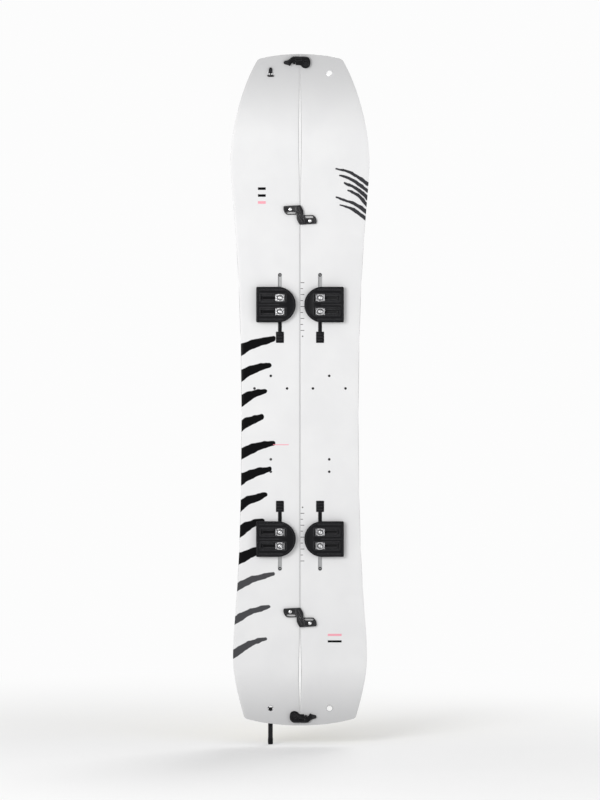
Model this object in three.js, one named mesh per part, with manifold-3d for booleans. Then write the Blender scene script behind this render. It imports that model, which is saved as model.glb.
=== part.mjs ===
// Splitboard: a snowboard cut lengthwise into two touring skis, shown joined in ride mode and standing on end.
// The board frame used below has x across the board, z from the tail end (0) to the nose tip, and y through the
// thickness, with the base facing +y and the topsheet facing -y. All sizes are millimetres. The last lines move the
// whole board so that the origin is under the middle of its bounding box.
import * as THREE from "three";
import { mergeVertices } from "three/addons/utils/BufferGeometryUtils.js";
import Module from "manifold-3d";

const wasm = await Module();
wasm.setup();

// Board outline
const LENGTH = 1540;
const NOSE_CORNER = { x: 96.5, z: 1529 };
const NOSE_WIDE = { x: 160.5, z: 1290 };
const WAIST = { x: 134.8, z: 716 };
const TAIL_WIDE = { x: 154.6, z: 152 };
const TAIL_CORNER = { x: 127.5, z: 15.4 };
const CORNER_CUT = 7;
const SEAM_HALF_GAP = 0.4;
const SEAM_BOW = 2;

// Side profile: a flat running length with an arc at each end
const NOSE_KICK = { start: 1235, radius: 924 };
const TAIL_KICK = { start: 170, radius: 425 };
const NOSE_TAPER = { from: 1205, to: 1400 };
const TAIL_TAPER = { from: 215, to: 60 };

// Laminate, measured from the base surface towards the topsheet
const GLUE_GAP = 0.2;
const EDGE_WIDTH = 2.2;
const BASE_THICK = 2;
const CORE_THICK = 6.2;
const CORE_TIP_THICK = 2.2;
const TOPSHEET_THICK = 0.8;
const BOARD_THICK = BASE_THICK + GLUE_GAP + CORE_THICK + GLUE_GAP + TOPSHEET_THICK;

// Hardware places
const FRONT_FOOT_Z = 967;
const REAR_FOOT_Z = 427;
const CHANNEL_X = 46.3;
const FRONT_HOOK_Z = 1174;
const REAR_HOOK_Z = 246;
const CLIP_FROM_END = 19;
const CLIP_X = 13.5;
const NOSE_HOLE = { x: 67.5, z: 1497 };
const TAIL_HOLE = { x: 68, z: 38 };
const SKIN_HOLE_RADIUS = 7.3;
const INSERT_RADIUS = 3;
const INSERTS = [
  { x: 67.4, z: 803 },
  { x: 29.8, z: 774 },
  { x: 105, z: 774 },
  { x: 67.4, z: 610.5 },
  { x: 67.4, z: 582 },
];

// Puck and the channel it slides in, in a local frame whose origin is on the topsheet between the puck's two screws
const PUCK = { halfWidth: 41, roundCentre: 4.4, flatEnd: 54.7, footInset: 5.5, footTop: 6.8, height: 14 };
const PUCK_SLOT = { from: -13.4, to: 44.9, halfWidth: 8.6, floor: 7.6 };
const SCREW_PITCH = 31.75;
const SCREW_RADIUS = 2.9;
const CLEARANCE = 0.3;
const CHANNEL = { halfWidth: 8.3, slotHalf: 4.5, cavityHalf: 6.9, top: 1, lip: 2.2, cavity: 5.2, bottom: 6.2 };
const CHANNEL_END = 77;
const SLOT_END = 69;
const POCKET = { from: -91, to: -61.5, halfWidth: 11, openHalfWidth: 8.5 };
const COVER = { from: -88, to: -62, halfWidth: 9.3, tongueEnd: -37, tongueHalf: 4.1 };

// Skin
const SKIN_LIFT = 0.3;
const SKIN_THICK = 2.2;
const SKIN_TAIL_Z = 101;
const SKIN_X = 69;
const HOOK_HINGE = { y: 3.6, z: 36.5 };

const COLOURS = {
  topsheet: { color: 0xe9e9ea, roughness: 0.35, metalness: 0 },
  core: { color: 0xc9a877, roughness: 0.7, metalness: 0 },
  base: { color: 0x151517, roughness: 0.45, metalness: 0 },
  steel: { color: 0x8d8f92, roughness: 0.35, metalness: 1 },
  channel: { color: 0x8b8c8e, roughness: 0.5, metalness: 0.4 },
  plastic: { color: 0x17171a, roughness: 0.55, metalness: 0 },
  anodised: { color: 0x1d1d20, roughness: 0.4, metalness: 0.6 },
  stainless: { color: 0xc6c7c9, roughness: 0.28, metalness: 1 },
  plush: { color: 0xe6cf24, roughness: 0.95, metalness: 0 },
  webbing: { color: 0x121213, roughness: 0.9, metalness: 0 },
};

const board = new THREE.Group();

function material(name) {
  return new THREE.MeshStandardMaterial(COLOURS[name]);
}

function solidOf(geometry) {
  const plain = geometry.index ? geometry.toNonIndexed() : geometry.clone();
  plain.deleteAttribute("normal");
  plain.deleteAttribute("uv");
  const merged = mergeVertices(plain, 1e-4);
  const vertProperties = merged.attributes.position.array;
  const triVerts = new Uint32Array(merged.index.array);
  return new wasm.Manifold(new wasm.Mesh({ numProp: 3, vertProperties, triVerts }));
}

function geometryOf(solid) {
  const mesh = solid.getMesh();
  const geometry = new THREE.BufferGeometry();
  geometry.setAttribute("position", new THREE.BufferAttribute(mesh.vertProperties, 3));
  geometry.setIndex(new THREE.BufferAttribute(mesh.triVerts, 1));
  return geometry;
}

function add(parent, name, solid, colour) {
  const mesh = new THREE.Mesh(geometryOf(solid), material(colour));
  mesh.name = name;
  parent.add(mesh);
  return mesh;
}

function union(...solids) {
  return solids.reduce((whole, next) => whole.add(next));
}

function cut(solid, ...tools) {
  return tools.reduce((whole, tool) => whole.subtract(tool), solid);
}

// A plan shape (x, z) given depth along y, from yBack towards the topsheet side.
function plate(shape, yBack, yFront, curveSegments = 3) {
  const geometry = new THREE.ExtrudeGeometry(shape, {
    depth: yBack - yFront,
    bevelEnabled: false,
    curveSegments,
  });
  geometry.rotateX(Math.PI / 2);
  geometry.translate(0, yBack, 0);
  return solidOf(geometry);
}

// A side shape (y, z) given width along x.
function sidePrism(shape, xFrom, xTo) {
  const geometry = new THREE.ExtrudeGeometry(shape, { depth: xTo - xFrom, bevelEnabled: false });
  const yAxis = new THREE.Vector3(0, 1, 0);
  const zAxis = new THREE.Vector3(0, 0, 1);
  const xAxis = new THREE.Vector3(1, 0, 0);
  geometry.applyMatrix4(new THREE.Matrix4().makeBasis(yAxis, zAxis, xAxis));
  geometry.translate(xFrom, 0, 0);
  return solidOf(geometry);
}

function cylinder(radius, yBack, yFront, x = 0, z = 0, segments = 14) {
  const geometry = new THREE.CylinderGeometry(radius, radius, yBack - yFront, segments);
  geometry.translate(x, (yBack + yFront) / 2, z);
  return solidOf(geometry);
}

// A turned piece about the y axis, from [radius, y] pairs.
function turned(pairs, segments = 14) {
  const points = pairs.map(([radius, y]) => new THREE.Vector2(radius, y));
  return solidOf(new THREE.LatheGeometry(points, segments));
}

function rectangle(xFrom, xTo, zFrom, zTo, corner = 0) {
  const shape = new THREE.Shape();
  const r = Math.max(corner, 1e-3);
  shape.moveTo(xFrom + r, zFrom);
  shape.lineTo(xTo - r, zFrom);
  shape.absarc(xTo - r, zFrom + r, r, -Math.PI / 2, 0, false);
  shape.absarc(xTo - r, zTo - r, r, 0, Math.PI / 2, false);
  shape.absarc(xFrom + r, zTo - r, r, Math.PI / 2, Math.PI, false);
  shape.absarc(xFrom + r, zFrom + r, r, Math.PI, Math.PI * 1.5, false);
  return shape;
}

// ---- Board shape ----

// How far the base surface stands towards the topsheet side at z.
function lift(z) {
  if (z > NOSE_KICK.start) {
    return NOSE_KICK.radius - Math.sqrt(NOSE_KICK.radius ** 2 - (z - NOSE_KICK.start) ** 2);
  }
  if (z < TAIL_KICK.start) {
    return TAIL_KICK.radius - Math.sqrt(TAIL_KICK.radius ** 2 - (TAIL_KICK.start - z) ** 2);
  }
  return 0;
}

// The angle a piece turns about x to lie on the board at z.
function tilt(z) {
  if (z > NOSE_KICK.start) return Math.asin((z - NOSE_KICK.start) / NOSE_KICK.radius);
  if (z < TAIL_KICK.start) return -Math.asin((TAIL_KICK.start - z) / TAIL_KICK.radius);
  return 0;
}

function coreThickness(z) {
  const noseTaper = (z - NOSE_TAPER.from) / (NOSE_TAPER.to - NOSE_TAPER.from);
  const tailTaper = (TAIL_TAPER.from - z) / (TAIL_TAPER.from - TAIL_TAPER.to);
  const taper = THREE.MathUtils.clamp(Math.max(noseTaper, tailTaper), 0, 1);
  return CORE_THICK + (CORE_TIP_THICK - CORE_THICK) * taper;
}

function boardThickness(z) {
  return BOARD_THICK - CORE_THICK + coreThickness(z);
}

function topSurfaceY(z) {
  return -lift(z) - boardThickness(z);
}

function stations() {
  const list = [];
  const tailSteps = 6;
  const noseSteps = 9;
  for (let i = 0; i <= tailSteps; i++) list.push((TAIL_KICK.start * i) / tailSteps);
  list.push(TAIL_TAPER.from, NOSE_TAPER.from);
  for (let i = 0; i <= noseSteps; i++) {
    list.push(NOSE_KICK.start + ((LENGTH - NOSE_KICK.start) * i) / noseSteps);
  }
  return list;
}

// A curved slab that follows the board, between two heights above the base surface (negative is below the base).
function slab(low, high) {
  const zs = stations();
  zs[0] -= 1;
  zs[zs.length - 1] += 1;
  const lowSide = zs.map((z) => new THREE.Vector2(-lift(z) - low(z), z));
  const highSide = zs.map((z) => new THREE.Vector2(-lift(z) - high(z), z));
  return sidePrism(new THREE.Shape([...lowSide, ...highSide.reverse()]), -200, 200);
}

// Half the gap between the skis: closed at the hooks and clips, bowed open between them.
function seamHalfGap(z) {
  const bow = (from, to) => (z > from && z < to ? Math.sin((Math.PI * (z - from)) / (to - from)) ** 2 : 0);
  return SEAM_HALF_GAP + SEAM_BOW * (bow(1200, 1505) + bow(25, 220));
}

// One ski's plan outline as points; side is -1 for the left ski and 1 for the right.
function skiOutline(side) {
  const path = new THREE.Path();
  const seamSteps = 5;
  path.moveTo(seamHalfGap(0), 0);
  for (let i = 0; i <= seamSteps; i++) {
    const z = 25 + (195 * i) / seamSteps;
    path.lineTo(seamHalfGap(z), z);
  }
  for (let i = 0; i <= seamSteps; i++) {
    const z = 1200 + (305 * i) / seamSteps;
    path.lineTo(seamHalfGap(z), z);
  }
  path.lineTo(seamHalfGap(LENGTH), LENGTH);
  path.quadraticCurveTo(NOSE_CORNER.x / 2, LENGTH, NOSE_CORNER.x - CORNER_CUT, NOSE_CORNER.z + 1.4);
  path.quadraticCurveTo(NOSE_CORNER.x, NOSE_CORNER.z, NOSE_CORNER.x + 3.5, NOSE_CORNER.z - 6.1);
  path.bezierCurveTo(134, 1465, NOSE_WIDE.x, 1375, NOSE_WIDE.x, NOSE_WIDE.z);
  path.bezierCurveTo(NOSE_WIDE.x, NOSE_WIDE.z - 63, WAIST.x, WAIST.z + 372, WAIST.x, WAIST.z);
  path.bezierCurveTo(WAIST.x, WAIST.z - 418, TAIL_WIDE.x, TAIL_WIDE.z + 102, TAIL_WIDE.x, TAIL_WIDE.z);
  path.bezierCurveTo(TAIL_WIDE.x, 107, 139.5, 55, TAIL_CORNER.x + 2, TAIL_CORNER.z + 6.7);
  path.quadraticCurveTo(TAIL_CORNER.x, TAIL_CORNER.z, TAIL_CORNER.x - CORNER_CUT, TAIL_CORNER.z - 1.6);
  path.quadraticCurveTo(TAIL_CORNER.x / 2, 0, seamHalfGap(0), 0);
  const points = path.getPoints(6);
  points.pop();
  return points.map((p) => new THREE.Vector2(side * p.x, p.y));
}

// The same outline moved inwards by a distance.
function inset(points, distance) {
  const turn = THREE.ShapeUtils.isClockWise(points) ? -1 : 1;
  const normal = (from, to) => {
    const along = to.clone().sub(from).normalize();
    return new THREE.Vector2(-along.y, along.x).multiplyScalar(turn);
  };
  return points.map((p, i) => {
    const before = normal(points[(i + points.length - 1) % points.length], p);
    const after = normal(p, points[(i + 1) % points.length]);
    const inwards = before.clone().add(after).normalize();
    return p.clone().addScaledVector(inwards, distance / inwards.dot(before));
  });
}

// A drilling tool or a place on the board at (x, z): its frame's origin is on the topsheet, with y along the normal.
function placeOnTop(x, z) {
  const place = new THREE.Group();
  place.position.set(x, topSurfaceY(z), z);
  place.rotation.x = tilt(z);
  place.updateMatrixWorld();
  return place;
}

function drillThrough(x, z, radius) {
  const geometry = new THREE.CylinderGeometry(radius, radius, 60, 14);
  geometry.applyMatrix4(placeOnTop(x, z).matrixWorld);
  return solidOf(geometry);
}

function translated(solid, x, y, z) {
  return solid.translate([x, y, z]);
}

// Turned half a turn about y, which swaps left and right, and nose and tail.
function halfTurned(solid) {
  return solid.rotate([0, 180, 0]);
}

const ABOVE_BASE = (depth) => () => depth;
const coreTop = (z) => BASE_THICK + GLUE_GAP + coreThickness(z);
const CLIP_HOLE_RADIUS = 2.5 + CLEARANCE;
const RIVET_HEAD_RADIUS = 4.5;

function channelPlan(grow) {
  const stem = rectangle(-CHANNEL.halfWidth - grow, CHANNEL.halfWidth + grow, -80, CHANNEL_END + grow, 3);
  const pocket = rectangle(
    -POCKET.halfWidth - grow,
    POCKET.halfWidth + grow,
    POCKET.from - grow,
    POCKET.to + 4 + grow,
    2,
  );
  return [stem, pocket];
}

function slotPlan(grow) {
  const slot = rectangle(
    -CHANNEL.slotHalf - grow,
    CHANNEL.slotHalf + grow,
    POCKET.to - 4,
    SLOT_END + CHANNEL.slotHalf + grow,
    CHANNEL.slotHalf,
  );
  const mouth = rectangle(
    -COVER.halfWidth - grow,
    COVER.halfWidth + grow,
    COVER.from - grow,
    COVER.to + grow,
    1.5,
  );
  return [slot, mouth];
}

function atFeet(tool, side) {
  const front = translated(tool, side * CHANNEL_X, -BOARD_THICK, FRONT_FOOT_Z);
  const rear = translated(halfTurned(tool), side * CHANNEL_X, -BOARD_THICK, REAR_FOOT_Z);
  return [front, rear];
}

function hookScrewPlaces(side) {
  const sign = -side;
  return [FRONT_HOOK_Z, REAR_HOOK_Z].map((z) => ({ x: side * HOOK.screwX, z: z + sign * HOOK.screwZ }));
}

const HOOK = { screwX: 22.7, screwZ: 13.2, thick: 3, band: 5.8, screwRadius: 2.5 };

function clipPlaces(side) {
  return [CLIP_FROM_END, LENGTH - CLIP_FROM_END].map((z) => ({ x: side * CLIP_X, z }));
}

function buildSki(side, name) {
  const outline = skiOutline(side);
  const whole = new THREE.Shape(outline);
  const inner = new THREE.Shape(inset(outline, EDGE_WIDTH + GLUE_GAP));
  const insideEdge = new THREE.Shape(inset(outline, EDGE_WIDTH));
  const plan = (shape) => plate(shape, 30, -120);

  const skinHoles = [NOSE_HOLE, TAIL_HOLE].map((h) => drillThrough(side * h.x, h.z, SKIN_HOLE_RADIUS));
  const clipHoles = clipPlaces(side).map((p) => drillThrough(p.x, p.z, CLIP_HOLE_RADIUS));
  const rivetHoles = clipPlaces(side).map((p) => drillThrough(p.x, p.z, RIVET_HEAD_RADIUS + CLEARANCE));
  const holeDown = -BASE_THICK - GLUE_GAP - 1.2;
  const inserts = INSERTS.map((p) => cylinder(INSERT_RADIUS, holeDown, -20, side * p.x, p.z, 10));
  const hookRadius = HOOK.screwRadius + CLEARANCE;
  const hookHoles = hookScrewPlaces(side).map((p) => cylinder(hookRadius, holeDown, -20, p.x, p.z, 10));
  const mouths = slotPlan(0).flatMap((shape) => atFeet(plate(shape, 3, -3), side));
  const pockets = channelPlan(CLEARANCE).flatMap((shape) =>
    atFeet(plate(shape, CHANNEL.bottom + CLEARANCE, -3), side),
  );

  const edge = slab(ABOVE_BASE(0), ABOVE_BASE(BASE_THICK)).intersect(plan(whole).subtract(plan(insideEdge)));
  const base = slab(ABOVE_BASE(0), ABOVE_BASE(BASE_THICK)).intersect(plan(inner));
  const core = slab(ABOVE_BASE(BASE_THICK + GLUE_GAP), coreTop).intersect(plan(whole));
  const topsheet = slab((z) => coreTop(z) + GLUE_GAP, boardThickness).intersect(plan(whole));

  add(board, `${name}_steel_edge`, edge, "steel");
  add(board, `${name}_base_sheet`, cut(base, ...skinHoles, ...rivetHoles), "base");
  add(board, `${name}_wood_core`, cut(core, ...skinHoles, ...clipHoles, ...inserts, ...hookHoles, ...pockets), "core");
  const topsheetCuts = [...skinHoles, ...clipHoles, ...inserts, ...hookHoles, ...mouths];
  add(board, `${name}_topsheet`, cut(topsheet, ...topsheetCuts), "topsheet");
}

// ---- Binding channels and pucks ----

function channelSolid() {
  const outer = union(...channelPlan(0).map((shape) => plate(shape, CHANNEL.bottom, CHANNEL.top)));
  const cavityPlan = rectangle(-CHANNEL.cavityHalf, CHANNEL.cavityHalf, -72, CHANNEL_END - 2, 2);
  const cavity = plate(cavityPlan, CHANNEL.cavity, CHANNEL.lip);
  const slot = plate(slotPlan(0)[0], CHANNEL.cavity - 0.5, 0);
  const entryPlan = rectangle(
    -POCKET.openHalfWidth,
    POCKET.openHalfWidth,
    POCKET.from + 2.5,
    POCKET.to + 1,
    1,
  );
  const entry = plate(entryPlan, CHANNEL.cavity, 0);
  return cut(outer, cavity, slot, entry);
}

function coverSolid() {
  const cap = plate(rectangle(-COVER.halfWidth + 0.3, COVER.halfWidth - 0.3, COVER.from + 0.3, COVER.to - 0.3, 1.5), 0.6, -0.8);
  const tongue = plate(rectangle(-COVER.tongueHalf, COVER.tongueHalf, COVER.from + 8, COVER.tongueEnd, 2), 2, 0.1);
  return union(cap, tongue);
}

function puckPlan(shrink) {
  const shape = new THREE.Shape();
  const half = PUCK.halfWidth - shrink;
  const corner = 3;
  const end = PUCK.flatEnd - shrink;
  shape.moveTo(PUCK.roundCentre, -half);
  shape.lineTo(end - corner, -half);
  shape.absarc(end - corner, -half + corner, corner, -Math.PI / 2, 0, false);
  shape.absarc(end - corner, half - corner, corner, 0, Math.PI / 2, false);
  shape.lineTo(PUCK.roundCentre, half);
  shape.absarc(PUCK.roundCentre, 0, half, Math.PI / 2, Math.PI * 1.5, false);
  return shape;
}

function puckSolid() {
  const foot = plate(puckPlan(PUCK.footInset), -CLEARANCE, -PUCK.footTop - 0.5, 5);
  const flange = plate(puckPlan(0), -PUCK.footTop, -PUCK.height, 5);
  const slots = [-SCREW_PITCH / 2, SCREW_PITCH / 2].flatMap((z) => [
    plate(rectangle(PUCK_SLOT.from, PUCK_SLOT.to, z - PUCK_SLOT.halfWidth, z + PUCK_SLOT.halfWidth, 2), -PUCK_SLOT.floor, -20, 1),
    plate(rectangle(PUCK_SLOT.from + 6, PUCK_SLOT.to - 5, z - 3.6, z + 3.6, 3.5), 5, -20),
  ]);
  return cut(union(foot, flange), ...slots);
}

function washerSolid() {
  const body = plate(rectangle(-10.6, 10.6, -8.1, 8.1, 1.2), -PUCK_SLOT.floor - CLEARANCE, -10.2, 1);
  const ridges = [-9.4, 9.4].map((x) =>
    plate(rectangle(x - 1.2, x + 1.2, -8.1, 8.1, 0), -9.5, -11.6, 1),
  );
  return cut(union(body, ...ridges), cylinder(SCREW_RADIUS + CLEARANCE, 5, -20));
}

function puckScrewSolid() {
  const headLow = -10.5;
  const headHigh = -13.3;
  const shank = turned([
    [0, 4.9],
    [SCREW_RADIUS, 4.9],
    [SCREW_RADIUS, headLow],
    [5.2, headLow],
    [5.2, headHigh + 1.2],
    [3.8, headHigh],
    [0, headHigh],
  ].reverse());
  const socket = cylinder(2, headLow - 0.8, headHigh - 1, 0, 0, 6);
  return cut(shank, socket);
}

function nutPlateSolid() {
  const bar = plate(rectangle(-6.5, 6.5, -23, 23, 1.5), 5, 2.5, 1);
  const holes = [-SCREW_PITCH / 2, SCREW_PITCH / 2].map((z) => cylinder(SCREW_RADIUS + CLEARANCE, 10, -5, 0, z));
  return cut(bar, ...holes);
}

function buildFoot(side, sideName, foot) {
  const channelPlace = new THREE.Group();
  channelPlace.position.set(side * CHANNEL_X, -BOARD_THICK, foot.z);
  channelPlace.rotation.y = foot.turn;
  board.add(channelPlace);
  add(channelPlace, `${foot.name}_${sideName}_channel`, channelSolid(), "channel");
  add(channelPlace, `${foot.name}_${sideName}_channel_cover`, coverSolid(), "plastic");

  const puckPlace = new THREE.Group();
  puckPlace.position.copy(channelPlace.position);
  puckPlace.rotation.y = side > 0 ? 0 : Math.PI;
  board.add(puckPlace);
  add(puckPlace, `${foot.name}_${sideName}_puck`, puckSolid(), "plastic");
  add(puckPlace, `${foot.name}_${sideName}_nut_plate`, nutPlateSolid(), "stainless");
  [-1, 1].forEach((row, i) => {
    const z = (row * SCREW_PITCH) / 2;
    add(puckPlace, `${foot.name}_${sideName}_washer_${i + 1}`, washerSolid(), "stainless").position.z = z;
    add(puckPlace, `${foot.name}_${sideName}_puck_screw_${i + 1}`, puckScrewSolid(), "stainless").position.z = z;
  });
}

// ---- Hooks that join the skis beyond the bindings ----

const RAMP = Math.atan(0.5);

// The left ski's hook, about the seam: a screwed plate, a bridge over the seam and a finger that points to the tail.
// The finger's inner face runs along the ramp, and the right ski's hook is this one turned half round.
function hookSolid() {
  const face = (z) => -z * Math.tan(RAMP) + 0.3;
  const finger = { tip: -7.4, pocket: 8, side: 7.8 };
  const outline = new THREE.Shape();
  outline.moveTo(-30, 0.4);
  outline.lineTo(-8.4, 0.4);
  outline.lineTo(-8.4, finger.pocket);
  outline.lineTo(face(finger.pocket), finger.pocket);
  outline.lineTo(face(finger.tip), finger.tip);
  outline.lineTo(finger.side - 1, finger.tip);
  outline.quadraticCurveTo(finger.side, finger.tip, finger.side, finger.tip + 2);
  outline.lineTo(finger.side, 8);
  outline.quadraticCurveTo(finger.side - 0.5, 13, 0.5, 22.6);
  outline.lineTo(-35, 20.6);
  outline.quadraticCurveTo(-38.4, 20.3, -38.4, 16);
  outline.quadraticCurveTo(-38, 5, -30, 0.4);
  const whole = plate(outline, -CLEARANCE, -CLEARANCE - HOOK.thick, 6);
  const raised = plate(rectangle(-9.6, 20, -20, 40), -1, -HOOK.band);
  const band = plate(outline, -1, -HOOK.band, 6).intersect(raised);
  const screwHole = cylinder(HOOK.screwRadius + CLEARANCE, 5, -20, -HOOK.screwX, HOOK.screwZ, 14);
  return cut(union(whole, band), screwHole);
}

function hookScrewSolid() {
  const headLow = -CLEARANCE - HOOK.thick - 0.3;
  const headHigh = headLow - 2.4;
  const bottom = 4.6;
  const screw = turned(
    [
      [0, headHigh],
      [3, headHigh],
      [4.4, headHigh + 0.9],
      [4.4, headLow],
      [HOOK.screwRadius, headLow],
      [HOOK.screwRadius, bottom],
      [0, bottom],
    ],
  );
  return cut(screw, cylinder(1.7, headHigh + 1.3, headHigh - 1, 0, 0, 6));
}

function buildHooks(side, sideName) {
  const turn = side < 0 ? 0 : Math.PI;
  [
    ["front", FRONT_HOOK_Z],
    ["rear", REAR_HOOK_Z],
  ].forEach(([name, z]) => {
    const place = new THREE.Group();
    place.position.set(0, topSurfaceY(z), z);
    place.rotation.y = turn;
    board.add(place);
    add(place, `${name}_${sideName}_hook`, hookSolid(), "anodised");
    const screw = add(place, `${name}_${sideName}_hook_screw`, hookScrewSolid(), "stainless");
    screw.position.set(-HOOK.screwX, 0, HOOK.screwZ);
  });
}

// ---- Nose and tail clips ----

const CLIP = { low: 0.6, high: 7, postRadius: 3.2, boltRadius: 2.5 };
const NOTCH_RADIUS = CLIP.postRadius + 0.6;

// The nose clip's lever about its pivot: a rounded hub on the right ski, an arm across the seam, a notch over the
// left ski's post that opens to the tail, and a finger tab. The tail clip is this one turned half round.
function leverSolid() {
  const post = -2 * CLIP_X;
  const slant = THREE.MathUtils.degToRad(38);
  const outline = new THREE.Shape();
  outline.moveTo(post + NOTCH_RADIUS, -4.5);
  outline.lineTo(post + NOTCH_RADIUS, 0);
  outline.absarc(post, 0, NOTCH_RADIUS, 0, Math.PI - slant, false);
  outline.lineTo(post - NOTCH_RADIUS * Math.cos(slant) - 6, NOTCH_RADIUS * Math.sin(slant) - 7.7);
  outline.quadraticCurveTo(post - 11, -8, post - 13, -5);
  outline.lineTo(-47, -3.5);
  outline.quadraticCurveTo(-51, -2.6, -51, 0.6);
  outline.quadraticCurveTo(-51, 3.6, -47, 4.6);
  outline.quadraticCurveTo(-40, 5.5, -36.5, 9.5);
  outline.quadraticCurveTo(-33, 14, -27, 14.6);
  outline.lineTo(0, 14.2);
  outline.quadraticCurveTo(10, 13, 10.2, 1);
  outline.quadraticCurveTo(10, -11.5, 0, -12);
  outline.quadraticCurveTo(-8, -12, -11, -6);
  outline.quadraticCurveTo(-13, -4.5, -16, -4.5);
  const lever = plate(outline, -CLIP.low, -CLIP.high, 5);
  const thumbStep = plate(rectangle(-60, -39, -20, 20), -CLIP.high + 2, -20);
  const pivotHole = cylinder(CLIP.boltRadius + CLEARANCE, 5, -20);
  return cut(lever, thumbStep, pivotHole);
}

// A rivet through the board: a flush head in the base sheet and a shank that stands above the topsheet.
function rivetProfile(z, shankTop, topPairs) {
  const thick = boardThickness(z) * Math.cos(tilt(z));
  const headHigh = thick - 1.7;
  return turned([
    ...topPairs,
    [CLIP.boltRadius, shankTop],
    [CLIP.boltRadius, headHigh],
    [RIVET_HEAD_RADIUS, headHigh],
    [RIVET_HEAD_RADIUS, thick - 0.1],
    [0, thick - 0.1],
  ]);
}

function pivotBoltSolid(z) {
  const low = -CLIP.high - 0.3;
  const headPairs = [
    [0, low - 1.8],
    [4.2, low - 1.8],
    [5.2, low - 0.8],
    [5.2, low],
  ];
  return cut(rivetProfile(z, low, headPairs), cylinder(1.8, low - 0.7, low - 5, 0, 0, 6));
}

function postSolid(z) {
  const foot = -0.4;
  const top = -CLIP.high + 0.4;
  return rivetProfile(z, foot, [
    [0, top],
    [CLIP.postRadius - 0.8, top],
    [CLIP.postRadius, top + 0.8],
    [CLIP.postRadius, foot],
  ]);
}

function buildClip(name, z, pivotSide) {
  const pivot = placeOnTop(pivotSide * CLIP_X, z);
  const catchSide = placeOnTop(-pivotSide * CLIP_X, z);
  board.add(pivot, catchSide);
  const lever = add(pivot, `${name}_clip_lever`, leverSolid(), "plastic");
  lever.rotation.y = pivotSide > 0 ? 0 : Math.PI;
  add(pivot, `${name}_clip_pivot_bolt`, pivotBoltSolid(z), "anodised");
  add(catchSide, `${name}_clip_post`, postSolid(z), "stainless");
}

// ---- Climbing skin on the left ski ----

function skinPlan() {
  const cutShape = new THREE.Shape();
  cutShape.moveTo(-5.5, 182);
  cutShape.lineTo(-5.5, 1392);
  cutShape.bezierCurveTo(-7, 1440, -22, 1470, -31, 1488);
  cutShape.lineTo(-104, 1488);
  cutShape.bezierCurveTo(-122, 1460, -150, 1410, -170, 1330);
  cutShape.lineTo(-170, 290);
  cutShape.bezierCurveTo(-152, 230, -140, 175, -107, SKIN_TAIL_Z);
  cutShape.lineTo(-35, SKIN_TAIL_Z);
  const trimmed = new THREE.Shape(inset(skiOutline(-1), 5));
  return plate(cutShape, 30, -120).intersect(plate(trimmed, 30, -120));
}

const skinBack = SKIN_LIFT + SKIN_THICK;

function webbingSolid() {
  const plan = rectangle(-SKIN_X - 14, -SKIN_X + 14, 73, 124, 1);
  const strip = slab(ABOVE_BASE(-skinBack - 0.3), ABOVE_BASE(-skinBack - 1.9));
  return strip.intersect(plate(plan, 30, -120));
}

// The tip connector lies over the skin's nose end, and its hook goes through the ski's nose hole.
function buildTipConnector() {
  const place = placeOnTop(-NOSE_HOLE.x, NOSE_HOLE.z);
  const toBase = boardThickness(NOSE_HOLE.z) * Math.cos(tilt(NOSE_HOLE.z));
  const plateBack = toBase + skinBack + 0.5;
  board.add(place);
  add(place, "skin_tip_plate", plate(rectangle(-33, 33, -15, 13, 4), plateBack + 4, plateBack, 5), "plastic");
  const stem = plate(rectangle(-3.5, 3.5, -5.2, -1.6, 0.6), plateBack - 0.3, -4, 3);
  const fingerPlan = new THREE.Shape();
  fingerPlan.moveTo(-5.2, -5.2);
  fingerPlan.lineTo(5.2, -5.2);
  fingerPlan.lineTo(5.2, 6);
  fingerPlan.quadraticCurveTo(4.6, 13.5, 0, 13.8);
  fingerPlan.quadraticCurveTo(-4.6, 13.5, -5.2, 6);
  const finger = plate(fingerPlan, -0.9, -4, 5);
  add(place, "skin_tip_hook", union(stem, finger), "plastic");
}

// The pull strap lies on the hook's back and hangs past the tail end.
function pullStrapSolid(start) {
  const thick = 1.8;
  const curve = new THREE.CubicBezierCurve(
    new THREE.Vector2(start, 27),
    new THREE.Vector2(start, -2),
    new THREE.Vector2(start + 1, -30),
    new THREE.Vector2(start + 15, -80),
  );
  const steps = 12;
  const front = curve.getPoints(steps);
  const back = front.map((p, i) => {
    const tangent = curve.getTangent(i / steps);
    return new THREE.Vector2(p.x - tangent.y * thick, p.y + tangent.x * thick);
  });
  return sidePrism(new THREE.Shape([...front, ...back.reverse()]), -5.4, 5.4);
}

// The tail hook hangs from the webbing: a moulded body that narrows to a prong through the ski's tail hole.
function buildTailHook() {
  const place = new THREE.Group();
  const z = TAIL_HOLE.z;
  place.position.set(-TAIL_HOLE.x, -lift(z), z);
  place.rotation.x = tilt(z);
  place.updateMatrixWorld();
  board.add(place);
  const bodyPlan = new THREE.Shape();
  bodyPlan.moveTo(-13, HOOK_HINGE.z - 0.6);
  bodyPlan.lineTo(-13, 14);
  bodyPlan.lineTo(-5, -3);
  bodyPlan.quadraticCurveTo(0, -6.5, 5, -3);
  bodyPlan.lineTo(13, 14);
  bodyPlan.lineTo(13, HOOK_HINGE.z - 0.6);
  const back = 3.4;
  const body = plate(bodyPlan, back + 4.5, back, 5);
  const prong = cylinder(2.6, back + 1, -4.5, 0, -0.5, 14);
  add(place, "skin_tail_hook", union(body, prong), "stainless");
  add(place, "skin_pull_strap", pullStrapSolid(back + 4.8), "webbing");
}

function buildSkin() {
  const sheet = slab(ABOVE_BASE(-SKIN_LIFT), ABOVE_BASE(-skinBack)).intersect(skinPlan());
  add(board, "climbing_skin", sheet, "plush");
  add(board, "skin_tail_webbing", webbingSolid(), "webbing");
  buildTipConnector();
  buildTailHook();
}

// ---- Assembly ----

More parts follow.
